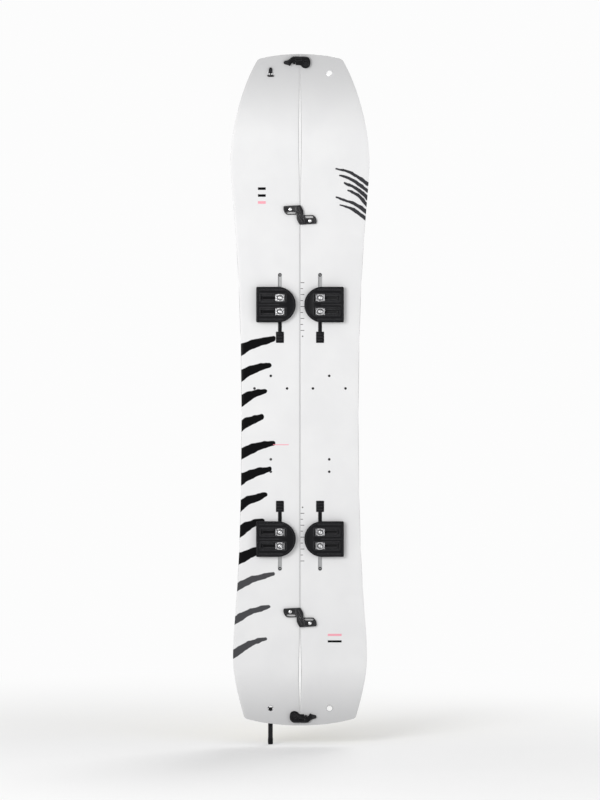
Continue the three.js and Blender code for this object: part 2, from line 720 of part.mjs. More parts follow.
const FEET = [
  { name: "front", z: FRONT_FOOT_Z, turn: 0 },
  { name: "rear", z: REAR_FOOT_Z, turn: Math.PI },
];

[
  [-1, "left"],
  [1, "right"],
].forEach(([side, name]) => {
  buildSki(side, name);
  buildHooks(side, name);
  FEET.forEach((foot) => buildFoot(side, name, foot));
});
buildClip("nose", LENGTH - CLIP_FROM_END, 1);
buildClip("tail", CLIP_FROM_END, -1);
buildSkin();

// The origin goes under the middle of the board's bounding box.
const box = new THREE.Box3().setFromObject(board, true);
const middle = box.getCenter(new THREE.Vector3());
board.position.set(-middle.x, -middle.y, -box.min.z);

export default board;
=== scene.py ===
import math

import bmesh
import bpy
import numpy as np
from mathutils import Matrix, Vector


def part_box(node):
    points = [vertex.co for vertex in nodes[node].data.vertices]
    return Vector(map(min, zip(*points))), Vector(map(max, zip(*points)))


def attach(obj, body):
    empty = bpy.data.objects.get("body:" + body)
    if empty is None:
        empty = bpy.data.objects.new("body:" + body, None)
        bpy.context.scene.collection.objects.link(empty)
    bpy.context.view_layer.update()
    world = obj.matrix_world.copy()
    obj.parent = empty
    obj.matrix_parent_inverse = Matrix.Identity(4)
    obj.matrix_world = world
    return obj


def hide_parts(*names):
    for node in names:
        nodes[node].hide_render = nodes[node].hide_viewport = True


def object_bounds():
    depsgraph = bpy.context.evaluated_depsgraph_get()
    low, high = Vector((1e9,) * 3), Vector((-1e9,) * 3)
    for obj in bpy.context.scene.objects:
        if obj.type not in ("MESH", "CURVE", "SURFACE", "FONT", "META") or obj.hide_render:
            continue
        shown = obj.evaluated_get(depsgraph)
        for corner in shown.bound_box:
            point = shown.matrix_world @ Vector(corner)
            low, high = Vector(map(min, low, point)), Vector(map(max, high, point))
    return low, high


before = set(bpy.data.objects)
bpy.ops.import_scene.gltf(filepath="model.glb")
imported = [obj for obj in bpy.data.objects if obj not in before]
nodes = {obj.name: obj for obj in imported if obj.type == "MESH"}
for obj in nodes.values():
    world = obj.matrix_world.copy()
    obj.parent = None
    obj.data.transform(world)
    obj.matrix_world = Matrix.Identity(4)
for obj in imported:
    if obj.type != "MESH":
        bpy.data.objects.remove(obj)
cad_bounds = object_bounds()

MM = 0.001
Y0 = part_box("right_base_sheet")[1].y
Z0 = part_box("right_topsheet")[0].z

LENGTH = 1540
NOSE_START, NOSE_RADIUS = 1235, 924
TAIL_START, TAIL_RADIUS = 170, 425
BASE_THICK = 2.0
CORE_THICK, CORE_TIP_THICK = 6.4, 2.4
TOPSHEET_THICK = 0.8
FEET = {"front": (967, 0), "rear": (427, math.pi)}
HOOKS = {"front": 1174, "rear": 246}
CHANNEL_X = 46.3
CLIP_X, CLIP_FROM_END = 13.5, 19
NOSE_HOLE, TAIL_HOLE = (67.5, 1497), (68, 38)
INSERTS = [(67.4, 803), (29.8, 774), (105, 774), (67.4, 610.5), (67.4, 582)]
SCREW_PITCH = 31.75
SLOT_END = 69
SKI_COLUMNS = 16
HOLE_CUT, INSERT_CUT, PIVOT_CUT = 7.3, 3.0, 4.8
SKIN_X = 69
SEAM_BOWS = ((1200, 1505), (25, 220))
SEAM_BOW = 2.0
SIDES = {"left": -1, "right": 1}


# ---- Board shape ----


def point(x, y, z):
    return Vector((x * MM, y * MM + Y0, z * MM + Z0))


def lift(z):
    if z > NOSE_START:
        return NOSE_RADIUS - math.sqrt(NOSE_RADIUS**2 - (z - NOSE_START) ** 2)
    if z < TAIL_START:
        return TAIL_RADIUS - math.sqrt(TAIL_RADIUS**2 - (TAIL_START - z) ** 2)
    return 0.0


def tilt(z):
    if z > NOSE_START:
        return math.asin((z - NOSE_START) / NOSE_RADIUS)
    if z < TAIL_START:
        return -math.asin((TAIL_START - z) / TAIL_RADIUS)
    return 0.0


def core_thickness(z):
    taper = max((z - 1205) / 195, (215 - z) / 155, 0)
    return CORE_THICK + (CORE_TIP_THICK - CORE_THICK) * min(taper, 1)


def thickness(z):
    return BASE_THICK + core_thickness(z) + 0.2 + TOPSHEET_THICK


def seam_gap(z):
    gap = 0.4
    for start, end in SEAM_BOWS:
        if start < z < end:
            gap += SEAM_BOW * math.sin(math.pi * (z - start) / (end - start)) ** 2
    return gap


def bezier(points, count):
    t = np.linspace(0, 1, count)[:, None]
    p = [np.array(q, float) for q in points]
    if len(p) == 3:
        return (1 - t) ** 2 * p[0] + 2 * (1 - t) * t * p[1] + t**2 * p[2]
    return (1 - t) ** 3 * p[0] + 3 * (1 - t) ** 2 * t * p[1] + 3 * (1 - t) * t**2 * p[2] + t**3 * p[3]


SIDE_CURVES = [
    [(120.5, 13.8), (127.5, 15.4), (129.5, 22.1)],
    [(129.5, 22.1), (139.5, 55), (154.6, 107), (154.6, 152)],
    [(154.6, 152), (154.6, 254), (134.8, 298), (134.8, 716)],
    [(134.8, 716), (134.8, 1088), (160.5, 1227), (160.5, 1290)],
    [(160.5, 1290), (160.5, 1375), (134, 1465), (100, 1522.9)],
    [(100, 1522.9), (96.5, 1529), (89.5, 1530.4)],
]
SIDE_LINE = np.concatenate([bezier(c, 40)[(1 if i else 0) :] for i, c in enumerate(SIDE_CURVES)])


def side_x(z):
    return float(np.interp(z, SIDE_LINE[:, 1], SIDE_LINE[:, 0]))


TAIL_CORNER_Z, NOSE_CORNER_Z = 13.8, 1530.4
BOARD_ROWS = np.concatenate(
    [
        np.linspace(TAIL_CORNER_Z, 22.1, 7)[:-1],
        np.linspace(22.1, TAIL_START, 30)[:-1],
        np.linspace(TAIL_START, NOSE_START, 90)[:-1],
        np.linspace(NOSE_START, 1522.9, 60)[:-1],
        np.linspace(1522.9, NOSE_CORNER_Z, 7),
    ]
)


def board_plan(side, row_z, u, inset):
    """Plan point of a ski: row_z runs along its outer side, u from the seam (0) to the outer side (1)."""
    outer = side_x(row_z)
    share = (row_z - TAIL_CORNER_Z) / (NOSE_CORNER_Z - TAIL_CORNER_Z)
    bulge = -13.8 + (13.8 + 9.6) * share
    inner = seam_gap(row_z + bulge) + inset
    x = inner + (outer - inset - inner) * u
    z = row_z + bulge * (1 - (x / outer) ** 2)
    z = LENGTH / 2 + (z - LENGTH / 2) * (1 - inset / (LENGTH / 2))
    return side * x, z


# ---- Mesh helpers ----


def mesh_object(name, bm):
    bmesh.ops.recalc_face_normals(bm, faces=bm.faces)
    mesh = bpy.data.meshes.new(name)
    bm.to_mesh(mesh)
    bm.free()
    obj = bpy.data.objects.new(name, mesh)
    bpy.context.scene.collection.objects.link(obj)
    return obj


def apply_modifiers(obj):
    graph = bpy.context.evaluated_depsgraph_get()
    baked = bpy.data.meshes.new_from_object(obj.evaluated_get(graph))
    obj.modifiers.clear()
    obj.data = baked


def smooth(obj, angle=32):
    mesh = obj.data
    mesh.polygons.foreach_set("use_smooth", [True] * len(mesh.polygons))
    mesh.set_sharp_from_angle(angle=math.radians(angle))
    mesh.update()


def bevel(obj, width, segments=2, angle=40):
    modifier = obj.modifiers.new("bevel", "BEVEL")
    modifier.width = width * MM
    modifier.segments = segments
    modifier.limit_method = "ANGLE"
    modifier.angle_limit = math.radians(angle)
    modifier.miter_outer = "MITER_ARC"


def ease(obj, width, segments=2, angle=40):
    bevel(obj, width, segments, angle)
    apply_modifiers(obj)


def eased_mesh(obj, width, segments=2, angle=40):
    """The mesh of obj with its edges eased, to be placed several times. The object itself goes."""
    ease(obj, width, segments, angle)
    mesh = obj.data
    bpy.data.objects.remove(obj)
    return mesh


def boolean(obj, cutter, operation="DIFFERENCE"):
    modifier = obj.modifiers.new("boolean", "BOOLEAN")
    modifier.operation = operation
    modifier.solver = "EXACT"
    modifier.object = cutter
    apply_modifiers(obj)
    bpy.data.objects.remove(cutter)


def carve(obj, outline, y_from, y_to):
    boolean(obj, prism("cutter", outline, y_from, y_to))


def weld(obj, outline, y_from, y_to):
    boolean(obj, prism("addition", outline, y_from, y_to), "UNION")


def rim_cells(last, columns):
    """Row and column of each grid point round the rim, in order."""
    cells = [(0, c) for c in range(columns)] + [(r, columns) for r in range(last)]
    return cells + [(last, c) for c in range(columns, 0, -1)] + [(r, 0) for r in range(last, 0, -1)]


def grid_slab(name, rows, columns, plan, low, high):
    """A closed slab over a grid; plan(row, u) gives x and z, low and high give heights above the base."""
    bm = bmesh.new()
    layers = []
    for height in (low, high):
        layer = []
        for row in rows:
            line = []
            for i in range(columns + 1):
                x, z = plan(row, i / columns)
                line.append(bm.verts.new(point(x, -lift(z) - height(x, z), z)))
            layer.append(line)
        layers.append(layer)
    last = len(rows) - 1
    for layer in layers:
        for r in range(last):
            for c in range(columns):
                bm.faces.new((layer[r][c], layer[r][c + 1], layer[r + 1][c + 1], layer[r + 1][c]))
    rim = rim_cells(last, columns)
    a, b = layers
    for (r0, c0), (r1, c1) in zip(rim, rim[1:] + rim[:1]):
        bm.faces.new((a[r0][c0], a[r1][c1], b[r1][c1], b[r0][c0]))
    return mesh_object(name, bm)


def prism(name, outline, y_from, y_to):
    """An outline of (x, z) points given depth along y, in a local frame in metres."""
    bm = bmesh.new()
    back = [bm.verts.new((x * MM, y_from * MM, z * MM)) for x, z in outline]
    front = [bm.verts.new((x * MM, y_to * MM, z * MM)) for x, z in outline]
    bm.faces.new(back)
    bm.faces.new(front)
    for i in range(len(outline)):
        j = (i + 1) % len(outline)
        bm.faces.new((back[i], back[j], front[j], front[i]))
    return mesh_object(name, bm)


def turned_ring(radius, y, segments):
    angles = [2 * math.pi * i / segments for i in range(segments)]
    return [(radius * MM * math.cos(a), y * MM, radius * MM * math.sin(a)) for a in angles]


def lathe(name, profile, segments=40):
    """A closed solid turned about the local y axis from (radius, y) pairs that start and end on the axis."""
    bm = bmesh.new()
    rings = []
    for radius, y in profile:
        ring = turned_ring(radius, y, segments) if radius else [(0, y * MM, 0)]
        rings.append([bm.verts.new(corner) for corner in ring])
    for lower, upper in zip(rings, rings[1:]):
        for i in range(segments):
            j = (i + 1) % segments
            corners = [lower[k % len(lower)] for k in (i, j)] + [upper[k % len(upper)] for k in (j, i)]
            bm.faces.new(list(dict.fromkeys(corners)))
    return mesh_object(name, bm)


def loft(name, rings, closed=False):
    """Rings of points joined by faces. An open loft gets a cap on each end."""
    bm = bmesh.new()
    rings = [[bm.verts.new(corner) for corner in ring] for ring in rings]
    count = len(rings[0])
    for first, second in zip(rings, rings[1:] + rings[:1] if closed else rings[1:]):
        for i in range(count):
            j = (i + 1) % count
            bm.faces.new((first[i], first[j], second[j], second[i]))
    if not closed:
        bm.faces.new(rings[0])
        bm.faces.new(rings[-1])
    return mesh_object(name, bm)


def sweep(name, path, section, closed=False):
    """A section of (side, up) points carried along a path of (centre, side axis, up axis)."""
    rings = []
    for centre, side_axis, up_axis in path:
        rings.append([centre + side_axis * (a * MM) + up_axis * (b * MM) for a, b in section])
    return loft(name, rings, closed)


def circle(radius, count, x=0, z=0):
    angles = [2 * math.pi * i / count for i in range(count)]
    return [(x + radius * math.cos(a), z + radius * math.sin(a)) for a in angles]


def arc(x, z, radius, start, end, count=8):
    angles = [math.radians(start + (end - start) * i / count) for i in range(count + 1)]
    return [(x + radius * math.cos(a), z + radius * math.sin(a)) for a in angles]


def rectangle(x0, x1, z0, z1, corner, count=6):
    r = corner
    return (
        arc(x0 + r, z0 + r, r, 180, 270, count)
        + arc(x1 - r, z0 + r, r, 270, 360, count)
        + arc(x1 - r, z1 - r, r, 0, 90, count)
        + arc(x0 + r, z1 - r, r, 90, 180, count)
    )


def quad(a, b, c, count=8):
    return [tuple(p) for p in bezier([a, b, c], count)]


def bend(line, control, end, count=8):
    """Carries a line on from its last point by one curve."""
    line += quad(line[-1], control, end, count)[1:]


def place(x, y, z, turn=0.0, lean=0.0):
    where = Matrix.Translation(point(x, y, z))
    return where @ Matrix.Rotation(lean, 4, "X") @ Matrix.Rotation(turn, 4, "Y")


def on_topsheet(x, z, turn=0.0):
    return place(x, -lift(z) - thickness(z), z, turn, tilt(z))


def settle(obj, matrix):
    """Moves the mesh itself into the row frame, so that its object sits at the origin."""
    obj.data.transform(matrix)
    obj.data.update()
    return obj


def finish_piece(obj, body, material, slot, *replaced, angle=32):
    smooth(obj, angle)
    obj.data.materials.clear()
    obj.data.materials.append(material)
    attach(obj, body)
    if replaced:
        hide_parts(*replaced)
    return obj


# ---- Materials ----


class Shader:
    """A node material with short names for the nodes that are used most."""

    def __init__(self, name, roughness=0.5, metallic=0.0, specular=0.5):
        self.material = bpy.data.materials.new(name)
        self.material.use_nodes = True
        self.tree = self.material.node_tree
        self.tree.nodes.clear()
        self.output = self.tree.nodes.new("ShaderNodeOutputMaterial")
        self.surface = self.tree.nodes.new("ShaderNodeBsdfPrincipled")
        self.tree.links.new(self.surface.outputs[0], self.output.inputs[0])
        self.set("Roughness", roughness)
        self.set("Metallic", metallic)
        self.set("Specular IOR Level", specular)
        self.object_coordinates = self.tree.nodes.new("ShaderNodeTexCoord").outputs["Object"]
        moved = self.vector("SUBTRACT", self.object_coordinates, (0, Y0, Z0))
        self.mm = self.vector("SCALE", moved, scale=1000)

    def put(self, value, socket):
        if isinstance(value, bpy.types.NodeSocket):
            self.tree.links.new(value, socket)
        else:
            socket.default_value = value

    def set(self, name, value):
        self.put(value, self.surface.inputs[name])

    def node(self, kind, *values, **settings):
        """A new node with these settings, and the values in its inputs in order."""
        node = self.tree.nodes.new(f"ShaderNode{kind}")
        for name, setting in settings.items():
            setattr(node, name, setting)
        for value, socket in zip(values, node.inputs):
            self.put(value, socket)
        return node

    def math(self, operation, *values):
        return self.node("Math", *values, operation=operation).outputs[0]

    def vector(self, operation, *values, scale=None):
        node = self.node("VectorMath", *values, operation=operation)
        if scale is not None:
            self.put(scale, node.inputs["Scale"])
        return node.outputs["Value"] if operation in ("LENGTH", "DOT_PRODUCT") else node.outputs[0]

    def parts(self, vector):
        return self.node("SeparateXYZ", vector).outputs

    def joined(self, x, y, z):
        return self.node("CombineXYZ", x, y, z).outputs[0]

    def noise_node(self, vector, scale, detail, roughness=0.5):
        node = self.node("TexNoise", vector)
        for name, value in (("Scale", scale), ("Detail", detail), ("Roughness", roughness)):
            node.inputs[name].default_value = value
        return node

    def noise(self, vector, scale, detail=3.0, roughness=0.5):
        return self.noise_node(vector, scale, detail, roughness).outputs[0]

    def fade(self, value, start, end, to_start=0.0, to_end=1.0, smooth=False):
        kind = "SMOOTHSTEP" if smooth else "LINEAR"
        node = self.node("MapRange", value, start, end, to_start, to_end, interpolation_type=kind)
        return node.outputs[0]

    def mix(self, share, first, second):
        node = self.node("Mix", share, data_type="RGBA")
        self.put(first, node.inputs[6])
        self.put(second, node.inputs[7])
        return node.outputs[2]

    def edge_band(self, reach):
        """1 along the edges of the piece, within reach millimetres, and 0 on its flat faces."""
        rounded = self.node("Bevel", samples=6)
        rounded.inputs["Radius"].default_value = reach * MM
        true_normal = self.node("NewGeometry").outputs["Normal"]
        same = self.vector("DOT_PRODUCT", rounded.outputs[0], true_normal)
        return self.fade(same, 0.995, 0.86, smooth=True)

    def hollow(self, reach):
        """1 deep in corners and holes narrower than reach millimetres, and 0 on open faces."""
        open_share = self.node("AmbientOcclusion", samples=8)
        open_share.inputs["Distance"].default_value = reach * MM
        return self.fade(open_share.outputs["AO"], 0.62, 0.25, smooth=True)

    def bump(self, height, distance, strength=1.0):
        node = self.node("Bump")
        self.put(height, node.inputs["Height"])
        node.inputs["Distance"].default_value = distance * MM
        node.inputs["Strength"].default_value = strength
        self.set("Normal", node.outputs[0])

    # Distances, in millimetres, from a point to simple shapes drawn on the board. Negative is inside.

    def stroke(self, where, a, b):
        """A brush mark from a to b; each end is (x, z, brush radius)."""
        step = Vector((b[0] - a[0], 0, b[1] - a[1]))
        from_a = self.vector("SUBTRACT", where, (a[0], 0, a[1]))
        share = self.vector("DOT_PRODUCT", from_a, tuple(step / step.length_squared))
        share = self.math("MAXIMUM", self.math("MINIMUM", share, 1.0), 0.0)
        nearest = self.vector("SCALE", tuple(step), scale=share)
        off = self.vector("LENGTH", self.vector("SUBTRACT", from_a, nearest))
        radius = self.math("MULTIPLY_ADD", share, b[2] - a[2], a[2])
        return self.math("SUBTRACT", off, radius)

    def drawing(self, where, lines, blend=4.0):
        """Brush lines joined into one shape; each line is a list of (x, z, brush radius)."""
        whole = None
        for line in lines:
            for a, b in zip(line, line[1:]):
                near = self.stroke(where, a, b)
                whole = near if whole is None else self.math("SMOOTH_MIN", whole, near, blend)
        return whole

    def disc(self, where, x, z, radius):
        off = self.vector("LENGTH", self.vector("SUBTRACT", where, (x, 0, z)))
        return self.math("SUBTRACT", off, radius)

    def bar(self, where, x0, x1, z0, z1):
        x, _, z = self.parts(where)
        sides = []
        for value, low, high in ((x, x0, x1), (z, z0, z1)):
            off = self.math("ABSOLUTE", self.math("SUBTRACT", value, (low + high) / 2))
            sides.append(self.math("SUBTRACT", off, abs(high - low) / 2))
        return self.math("MAXIMUM", *sides)

    def nearest(self, distances):
        whole = distances[0]
        for other in distances[1:]:
            whole = self.math("MINIMUM", whole, other)
        return whole

    def paint(self, distance, soft=0.5):
        return self.fade(distance, soft, -soft, smooth=True)


def flat(shader):
    """The point on the board seen from above, without its depth, for drawing on."""
    x, _, z = shader.parts(shader.mm)
    return shader.joined(x, 0.0, z)


def wobbled(shader, where, scale, amount):
    """The drawing point shifted by soft noise, so that a painted line has an uneven edge."""
    colour = shader.noise_node(where, scale, 2.0).outputs["Color"]
    shift = shader.vector("SUBTRACT", colour, (0.5, 0.5, 0.5))
    shift = shader.vector("MULTIPLY", shift, (amount, 0, amount))
    return shader.vector("ADD", where, shift)


def smooth_line(corners, steps=3):
    """Points of a smooth curve through the corners, with the same number of steps between each two."""
    ends = [Vector(corner) for corner in (corners[0], *corners, corners[-1])]
    line = [tuple(ends[0])]
    for p, q, r, s in zip(ends, ends[1:], ends[2:], ends[3:]):
        for i in range(1, steps + 1):
            t = i / steps
            bend = (p * 2 - q * 5 + r * 4 - s) * t**2 + (q * 3 - p - r * 3 + s) * t**3
            line.append(tuple((q * 2 + (r - p) * t + bend) / 2))
    return line


WHITE = (0.725, 0.725, 0.728, 1)
TIP_SHADE_GREY = (0.43, 0.43, 0.434, 1)
INK = (0.002, 0.002, 0.0025, 1)
GREY_INK = (0.036, 0.036, 0.04, 1)
MIDDLE_GREY = (0.06, 0.06, 0.064, 1)
SEAM_SHADE_GREY = (0.36, 0.36, 0.365, 1)
PINK = (0.83, 0.25, 0.33, 1)
PALE_GREEN = (0.54, 0.66, 0.47, 1)
TAN = (0.36, 0.32, 0.18, 1)
RULER_LINES = 9
RULER_PITCH = 13.75
MARKS_OUTER = 156


def brush_marks(side, inner, top, bottom, count, brush):
    """Slanted brush marks on one ski's outer side, of uneven length."""
    marks = []
    for i, z in enumerate(np.linspace(top, bottom, count)):
        reach = inner + 9 * (i * 5 % 4)
        outer_end = (side * MARKS_OUTER, z - 20, brush)
        middle = (side * (reach + MARKS_OUTER) / 2, z + 4, brush * 0.8)
        inner_end = (side * reach, z + 16, brush * 0.45)
        marks.append(smooth_line([outer_end, middle, inner_end], 2))
    return marks


def topsheet_material():
    s = Shader("printed_topsheet", roughness=0.3, specular=0.05)
    plain = flat(s)
    hand = wobbled(s, plain, 0.035, 8)
    x, _, z = s.parts(plain)
    colour = s.mix(s.fade(s.noise(plain, 0.012, 2.0), 0.35, 0.65), WHITE, (0.7, 0.7, 0.705, 1))
    # Painted shade: the topsheet is greyed towards the nose and the tail, where the kicked-up tips turn away
    # from the light.
    tip_shade = s.math("MAXIMUM", s.fade(z, 1330, 1540, smooth=True), s.fade(z, 150, -20, smooth=True))
    colour = s.mix(s.math("MULTIPLY", tip_shade, 0.8), colour, TIP_SHADE_GREY)
    # Painted shade: a grey band along the seam stands in for the shadow in the gap between the two skis.
    gap = 0.4
    for start, end in SEAM_BOWS:
        wave = s.math("SINE", s.fade(z, start, end, 0.0, math.pi))
        gap = s.math("ADD", gap, s.math("MULTIPLY", s.math("MULTIPLY", wave, wave), SEAM_BOW))
    from_seam = s.math("SUBTRACT", s.math("ABSOLUTE", x), gap)
    colour = s.mix(s.fade(from_seam, 2.0, 0.8, 0.0, 0.8), colour, SEAM_SHADE_GREY)

    # Plain brush marks: grey by the nose on the right ski, black and grey down the left ski's outer side.
    nose = s.paint(s.drawing(hand, brush_marks(1, 84, 1266, 1182, 6, 4.5), 2.5), 0.7)
    colour = s.mix(s.math("MULTIPLY", nose, s.fade(x, 76, 78)), colour, GREY_INK)
    black = s.paint(s.drawing(hand, brush_marks(-1, 62, 872, 392, 9, 13)), 0.7)
    colour = s.mix(s.math("MULTIPLY", black, s.fade(x, -55, -57)), colour, INK)
    grey = s.paint(s.drawing(hand, brush_marks(-1, 62, 330, 180, 3, 9)), 0.7)
    colour = s.mix(s.math("MULTIPLY", grey, s.fade(x, -55, -57)), colour, MIDDLE_GREY)

    # Plain bars where there is lettering on a board of this kind.
    bars = [s.bar(plain, -97, -79, z1 - 6, z1) for z1 in (1238, 1222)]
    bars += [s.bar(plain, 64, 96, 188, 193)]
    colour = s.mix(s.paint(s.nearest(bars), 0.3), colour, INK)
    pink_bars = ((-97, -79, 1200, 1206), (64, 96, 203, 208), (-62, -26, 643.2, 645.2))
    pink = [s.bar(plain, *edges) for edges in pink_bars]
    colour = s.mix(s.math("MULTIPLY", s.paint(s.nearest(pink), 0.3), 0.8), colour, PINK)

    # The stance rulers beside the seam.
    ticks = []
    for foot_z, end in ((963, -1), (431, 1)):
        for i in range(RULER_LINES):
            tick_z = foot_z + (i - (RULER_LINES - 1) / 2) * RULER_PITCH
            ticks.append(s.bar(plain, 1, 10 if i % 2 == 0 else 7, tick_z - 0.7, tick_z + 0.7))
        arrow_z = foot_z + end * (RULER_LINES / 2 + 0.5) * RULER_PITCH
        ticks.append(s.disc(plain, 6, arrow_z, 1.6))
    colour = s.mix(s.paint(s.nearest(ticks), 0.25), colour, (0.03, 0.03, 0.03, 1))

    s.set("Base Color", colour)
    s.set("Roughness", s.fade(s.noise(plain, 0.2, 4.0), 0.3, 0.7, 0.26, 0.36))
    s.set("Coat Weight", 0.04)
    s.set("Coat Roughness", 0.12)
    s.bump(s.noise(plain, 0.9, 2.0), 0.02)
    return s.material


def base_material(side):
    name = "left" if side < 0 else "right"
    s = Shader(f"{name}_base_print", roughness=0.4, specular=0.05)
    plain = flat(s)
    x, _, z = s.parts(plain)
    # Painted sheen: lighter bands in the base colour where the curved nose and tail reflect the light.
    nose_sheen = s.math("MULTIPLY", s.fade(z, 1190, 1350, smooth=True), s.fade(z, 1470, 1380, smooth=True))
    tail_sheen = s.math("MULTIPLY", s.fade(z, 420, 140, smooth=True), s.fade(z, 45, 110, smooth=True))
    sheen = s.math("MAXIMUM", nose_sheen, tail_sheen)
    colour = s.mix(sheen, (0.0028, 0.0028, 0.0042, 1), (0.055, 0.055, 0.058, 1))
    structure = s.noise(s.vector("MULTIPLY", plain, (1.2, 1, 0.01)), 1.0, 3.0)
    colour = s.mix(s.fade(structure, 0.4, 0.75, 0.0, 0.12), colour, (0.03, 0.03, 0.034, 1))
    clouded = s.mix(s.fade(s.noise(plain, 0.018, 3.0), 0.3, 0.7), TAN, (0.46, 0.42, 0.26, 1))
    if side > 0:
        corner = (24, 14, 34)
        panel = s.fade(z, 99.6, 99)
        marks = [s.bar(plain, 48, 96, z1, z1 + 7) for z1 in (1436, 1452)]
    else:
        corner = (-24, 1532, 34)
        panel = s.fade(z, 1443.4, 1444)
        marks = [s.bar(plain, -118, -20, z1, z1 + 6) for z1 in (46, 60)]
    shade = s.paint(s.disc(wobbled(s, plain, 0.05, 5), *corner), 16)
    clouded = s.mix(shade, clouded, (0.008, 0.01, 0.02, 1))
    colour = s.mix(panel, colour, clouded)
    colour = s.mix(s.paint(s.nearest(marks), 0.3), colour, PALE_GREEN)
    s.set("Base Color", colour)
    s.set("Roughness", s.fade(structure, 0.3, 0.7, 0.34, 0.5))
    s.bump(structure, 0.04)
    return s.material


def sidewall_material():
    s = Shader("sealed_sidewall", roughness=0.5)
    layers = s.parts(s.mm)[1]
    lines = s.math("SINE", s.math("MULTIPLY", layers, 7.0))
    grain = s.noise(s.vector("MULTIPLY", s.mm, (1, 1, 0.05)), 0.8, 4.0)
    colour = s.mix(s.fade(grain, 0.3, 0.7), (0.016, 0.016, 0.018, 1), (0.032, 0.032, 0.034, 1))
    s.set("Base Color", s.mix(s.fade(lines, 0.8, 1.0, 0.0, 0.35), colour, (0.07, 0.07, 0.07, 1)))
    s.bump(grain, 0.05)
    return s.material


def metal_material(name, colour, roughness, streak, stretch=(1, 1, 0.05), hollow_shade=0.0):
    """Brushed or cast metal: fine streaks in colour and roughness, with painted shade darkening the hollows.
    """
    s = Shader(name, roughness=roughness, metallic=1.0)
    fine = s.noise(s.vector("MULTIPLY", s.mm, stretch), 3.0, 5.0, 0.7)
    broad = s.noise(s.mm, 0.08, 3.0)
    dark = tuple(c * (1 - streak) for c in colour) + (1,)
    shade = s.mix(s.fade(fine, 0.25, 0.75), dark, tuple(colour) + (1,))
    # Painted shade: the hollows, found by ambient occlusion, are darkened in the colour.
    if hollow_shade:
        shade = s.mix(s.math("MULTIPLY", s.hollow(3.0), hollow_shade), shade, (0.01, 0.01, 0.011, 1))
    s.set("Base Color", shade)
    s.set("Roughness", s.fade(broad, 0.3, 0.7, roughness * 0.8, roughness * 1.25))
    s.bump(fine, 0.02)
    return s.material


def plastic_material(name, colour, edge, roughness=0.42, specular=0.16):
    """Moulded plastic: a pebbled grain, faint scuffs, and lighter edges that are partly wear and partly a
    painted highlight.
    """
    s = Shader(name, roughness=roughness, specular=specular)
    grain = s.noise(s.mm, 1.6, 4.0, 0.6)
    scuff = s.noise(s.vector("MULTIPLY", s.mm, (0.3, 1, 1)), 0.5, 6.0, 0.75)
    worn = s.fade(scuff, 0.6, 0.8, 0.0, 0.25)
    # Painted highlight with wear: the edges are lightened in the colour as though they caught the light,
    # more where the scuff noise is high.
    edge_wear_and_highlight = s.math("MULTIPLY", s.edge_band(1.3), s.fade(scuff, 0.3, 0.6, 0.55, 1.0))
    share = s.math("MAXIMUM", worn, edge_wear_and_highlight)
    s.set("Base Color", s.mix(share, tuple(colour) + (1,), tuple(edge) + (1,)))
    s.set("Roughness", s.fade(grain, 0.3, 0.7, roughness * 0.85, roughness * 1.2))
    s.bump(grain, 0.05)
    return s.material


def plush_material():
    s = Shader("skin_plush", roughness=0.9, specular=0.08)
    plain = flat(s)
    nap = s.noise(s.vector("MULTIPLY", plain, (1.6, 1, 0.35)), 1.0, 5.0, 0.7)
    patches = s.noise(plain, 0.012, 3.0)
    x, _, z = s.parts(plain)
    along = s.math("MAXIMUM", s.fade(z, 1180, 1440), s.fade(z, 780, 330))
    colour = s.mix(along, (0.86, 0.72, 0.115, 1), (0.79, 0.6, 0.012, 1))
    colour = s.mix(s.fade(patches, 0.35, 0.65, 0.0, 0.25), colour, (0.88, 0.76, 0.15, 1))
    colour = s.mix(s.fade(nap, 0.35, 0.7, 0.28, 0.0), colour, (0.5, 0.36, 0.01, 1))
    colour = s.mix(s.math("MULTIPLY", s.edge_band(2.4), 0.6), colour, (0.85, 0.78, 0.25, 1))
    s.set("Base Color", colour)
    s.set("Sheen Weight", 0.12)
    s.set("Sheen Tint", (1, 0.92, 0.5, 1))
    s.bump(nap, 0.35)
    return s.material


def webbing_material():
    """Flat woven webbing: two sets of ribs that cross at a slant, so that they show as a herringbone."""
    s = Shader("black_webbing", roughness=0.8, specular=0.1)
    x, y, z = s.parts(s.mm)
    fold = s.math("ABSOLUTE", s.math("SUBTRACT", s.math("FRACT", s.math("MULTIPLY", x, 0.28)), 0.5))
    ribs = s.math("SINE", s.math("ADD", s.math("MULTIPLY", z, 4.2), s.math("MULTIPLY", fold, 9.0)))
    height = s.fade(ribs, -1, 1)
    fluff = s.noise(s.mm, 2.5, 3.0)
    colour = s.mix(height, (0.005, 0.005, 0.006, 1), (0.02, 0.02, 0.022, 1))
    s.set("Base Color", s.mix(s.fade(fluff, 0.55, 0.8, 0.0, 0.4), colour, (0.06, 0.06, 0.064, 1)))
    s.set("Sheen Weight", 0.2)
    s.bump(height, 0.3)
    return s.material


TOPSHEET = topsheet_material()
SIDEWALL = sidewall_material()
STEEL = metal_material("ground_edge_steel", (0.24, 0.24, 0.25), 0.36, 0.35)
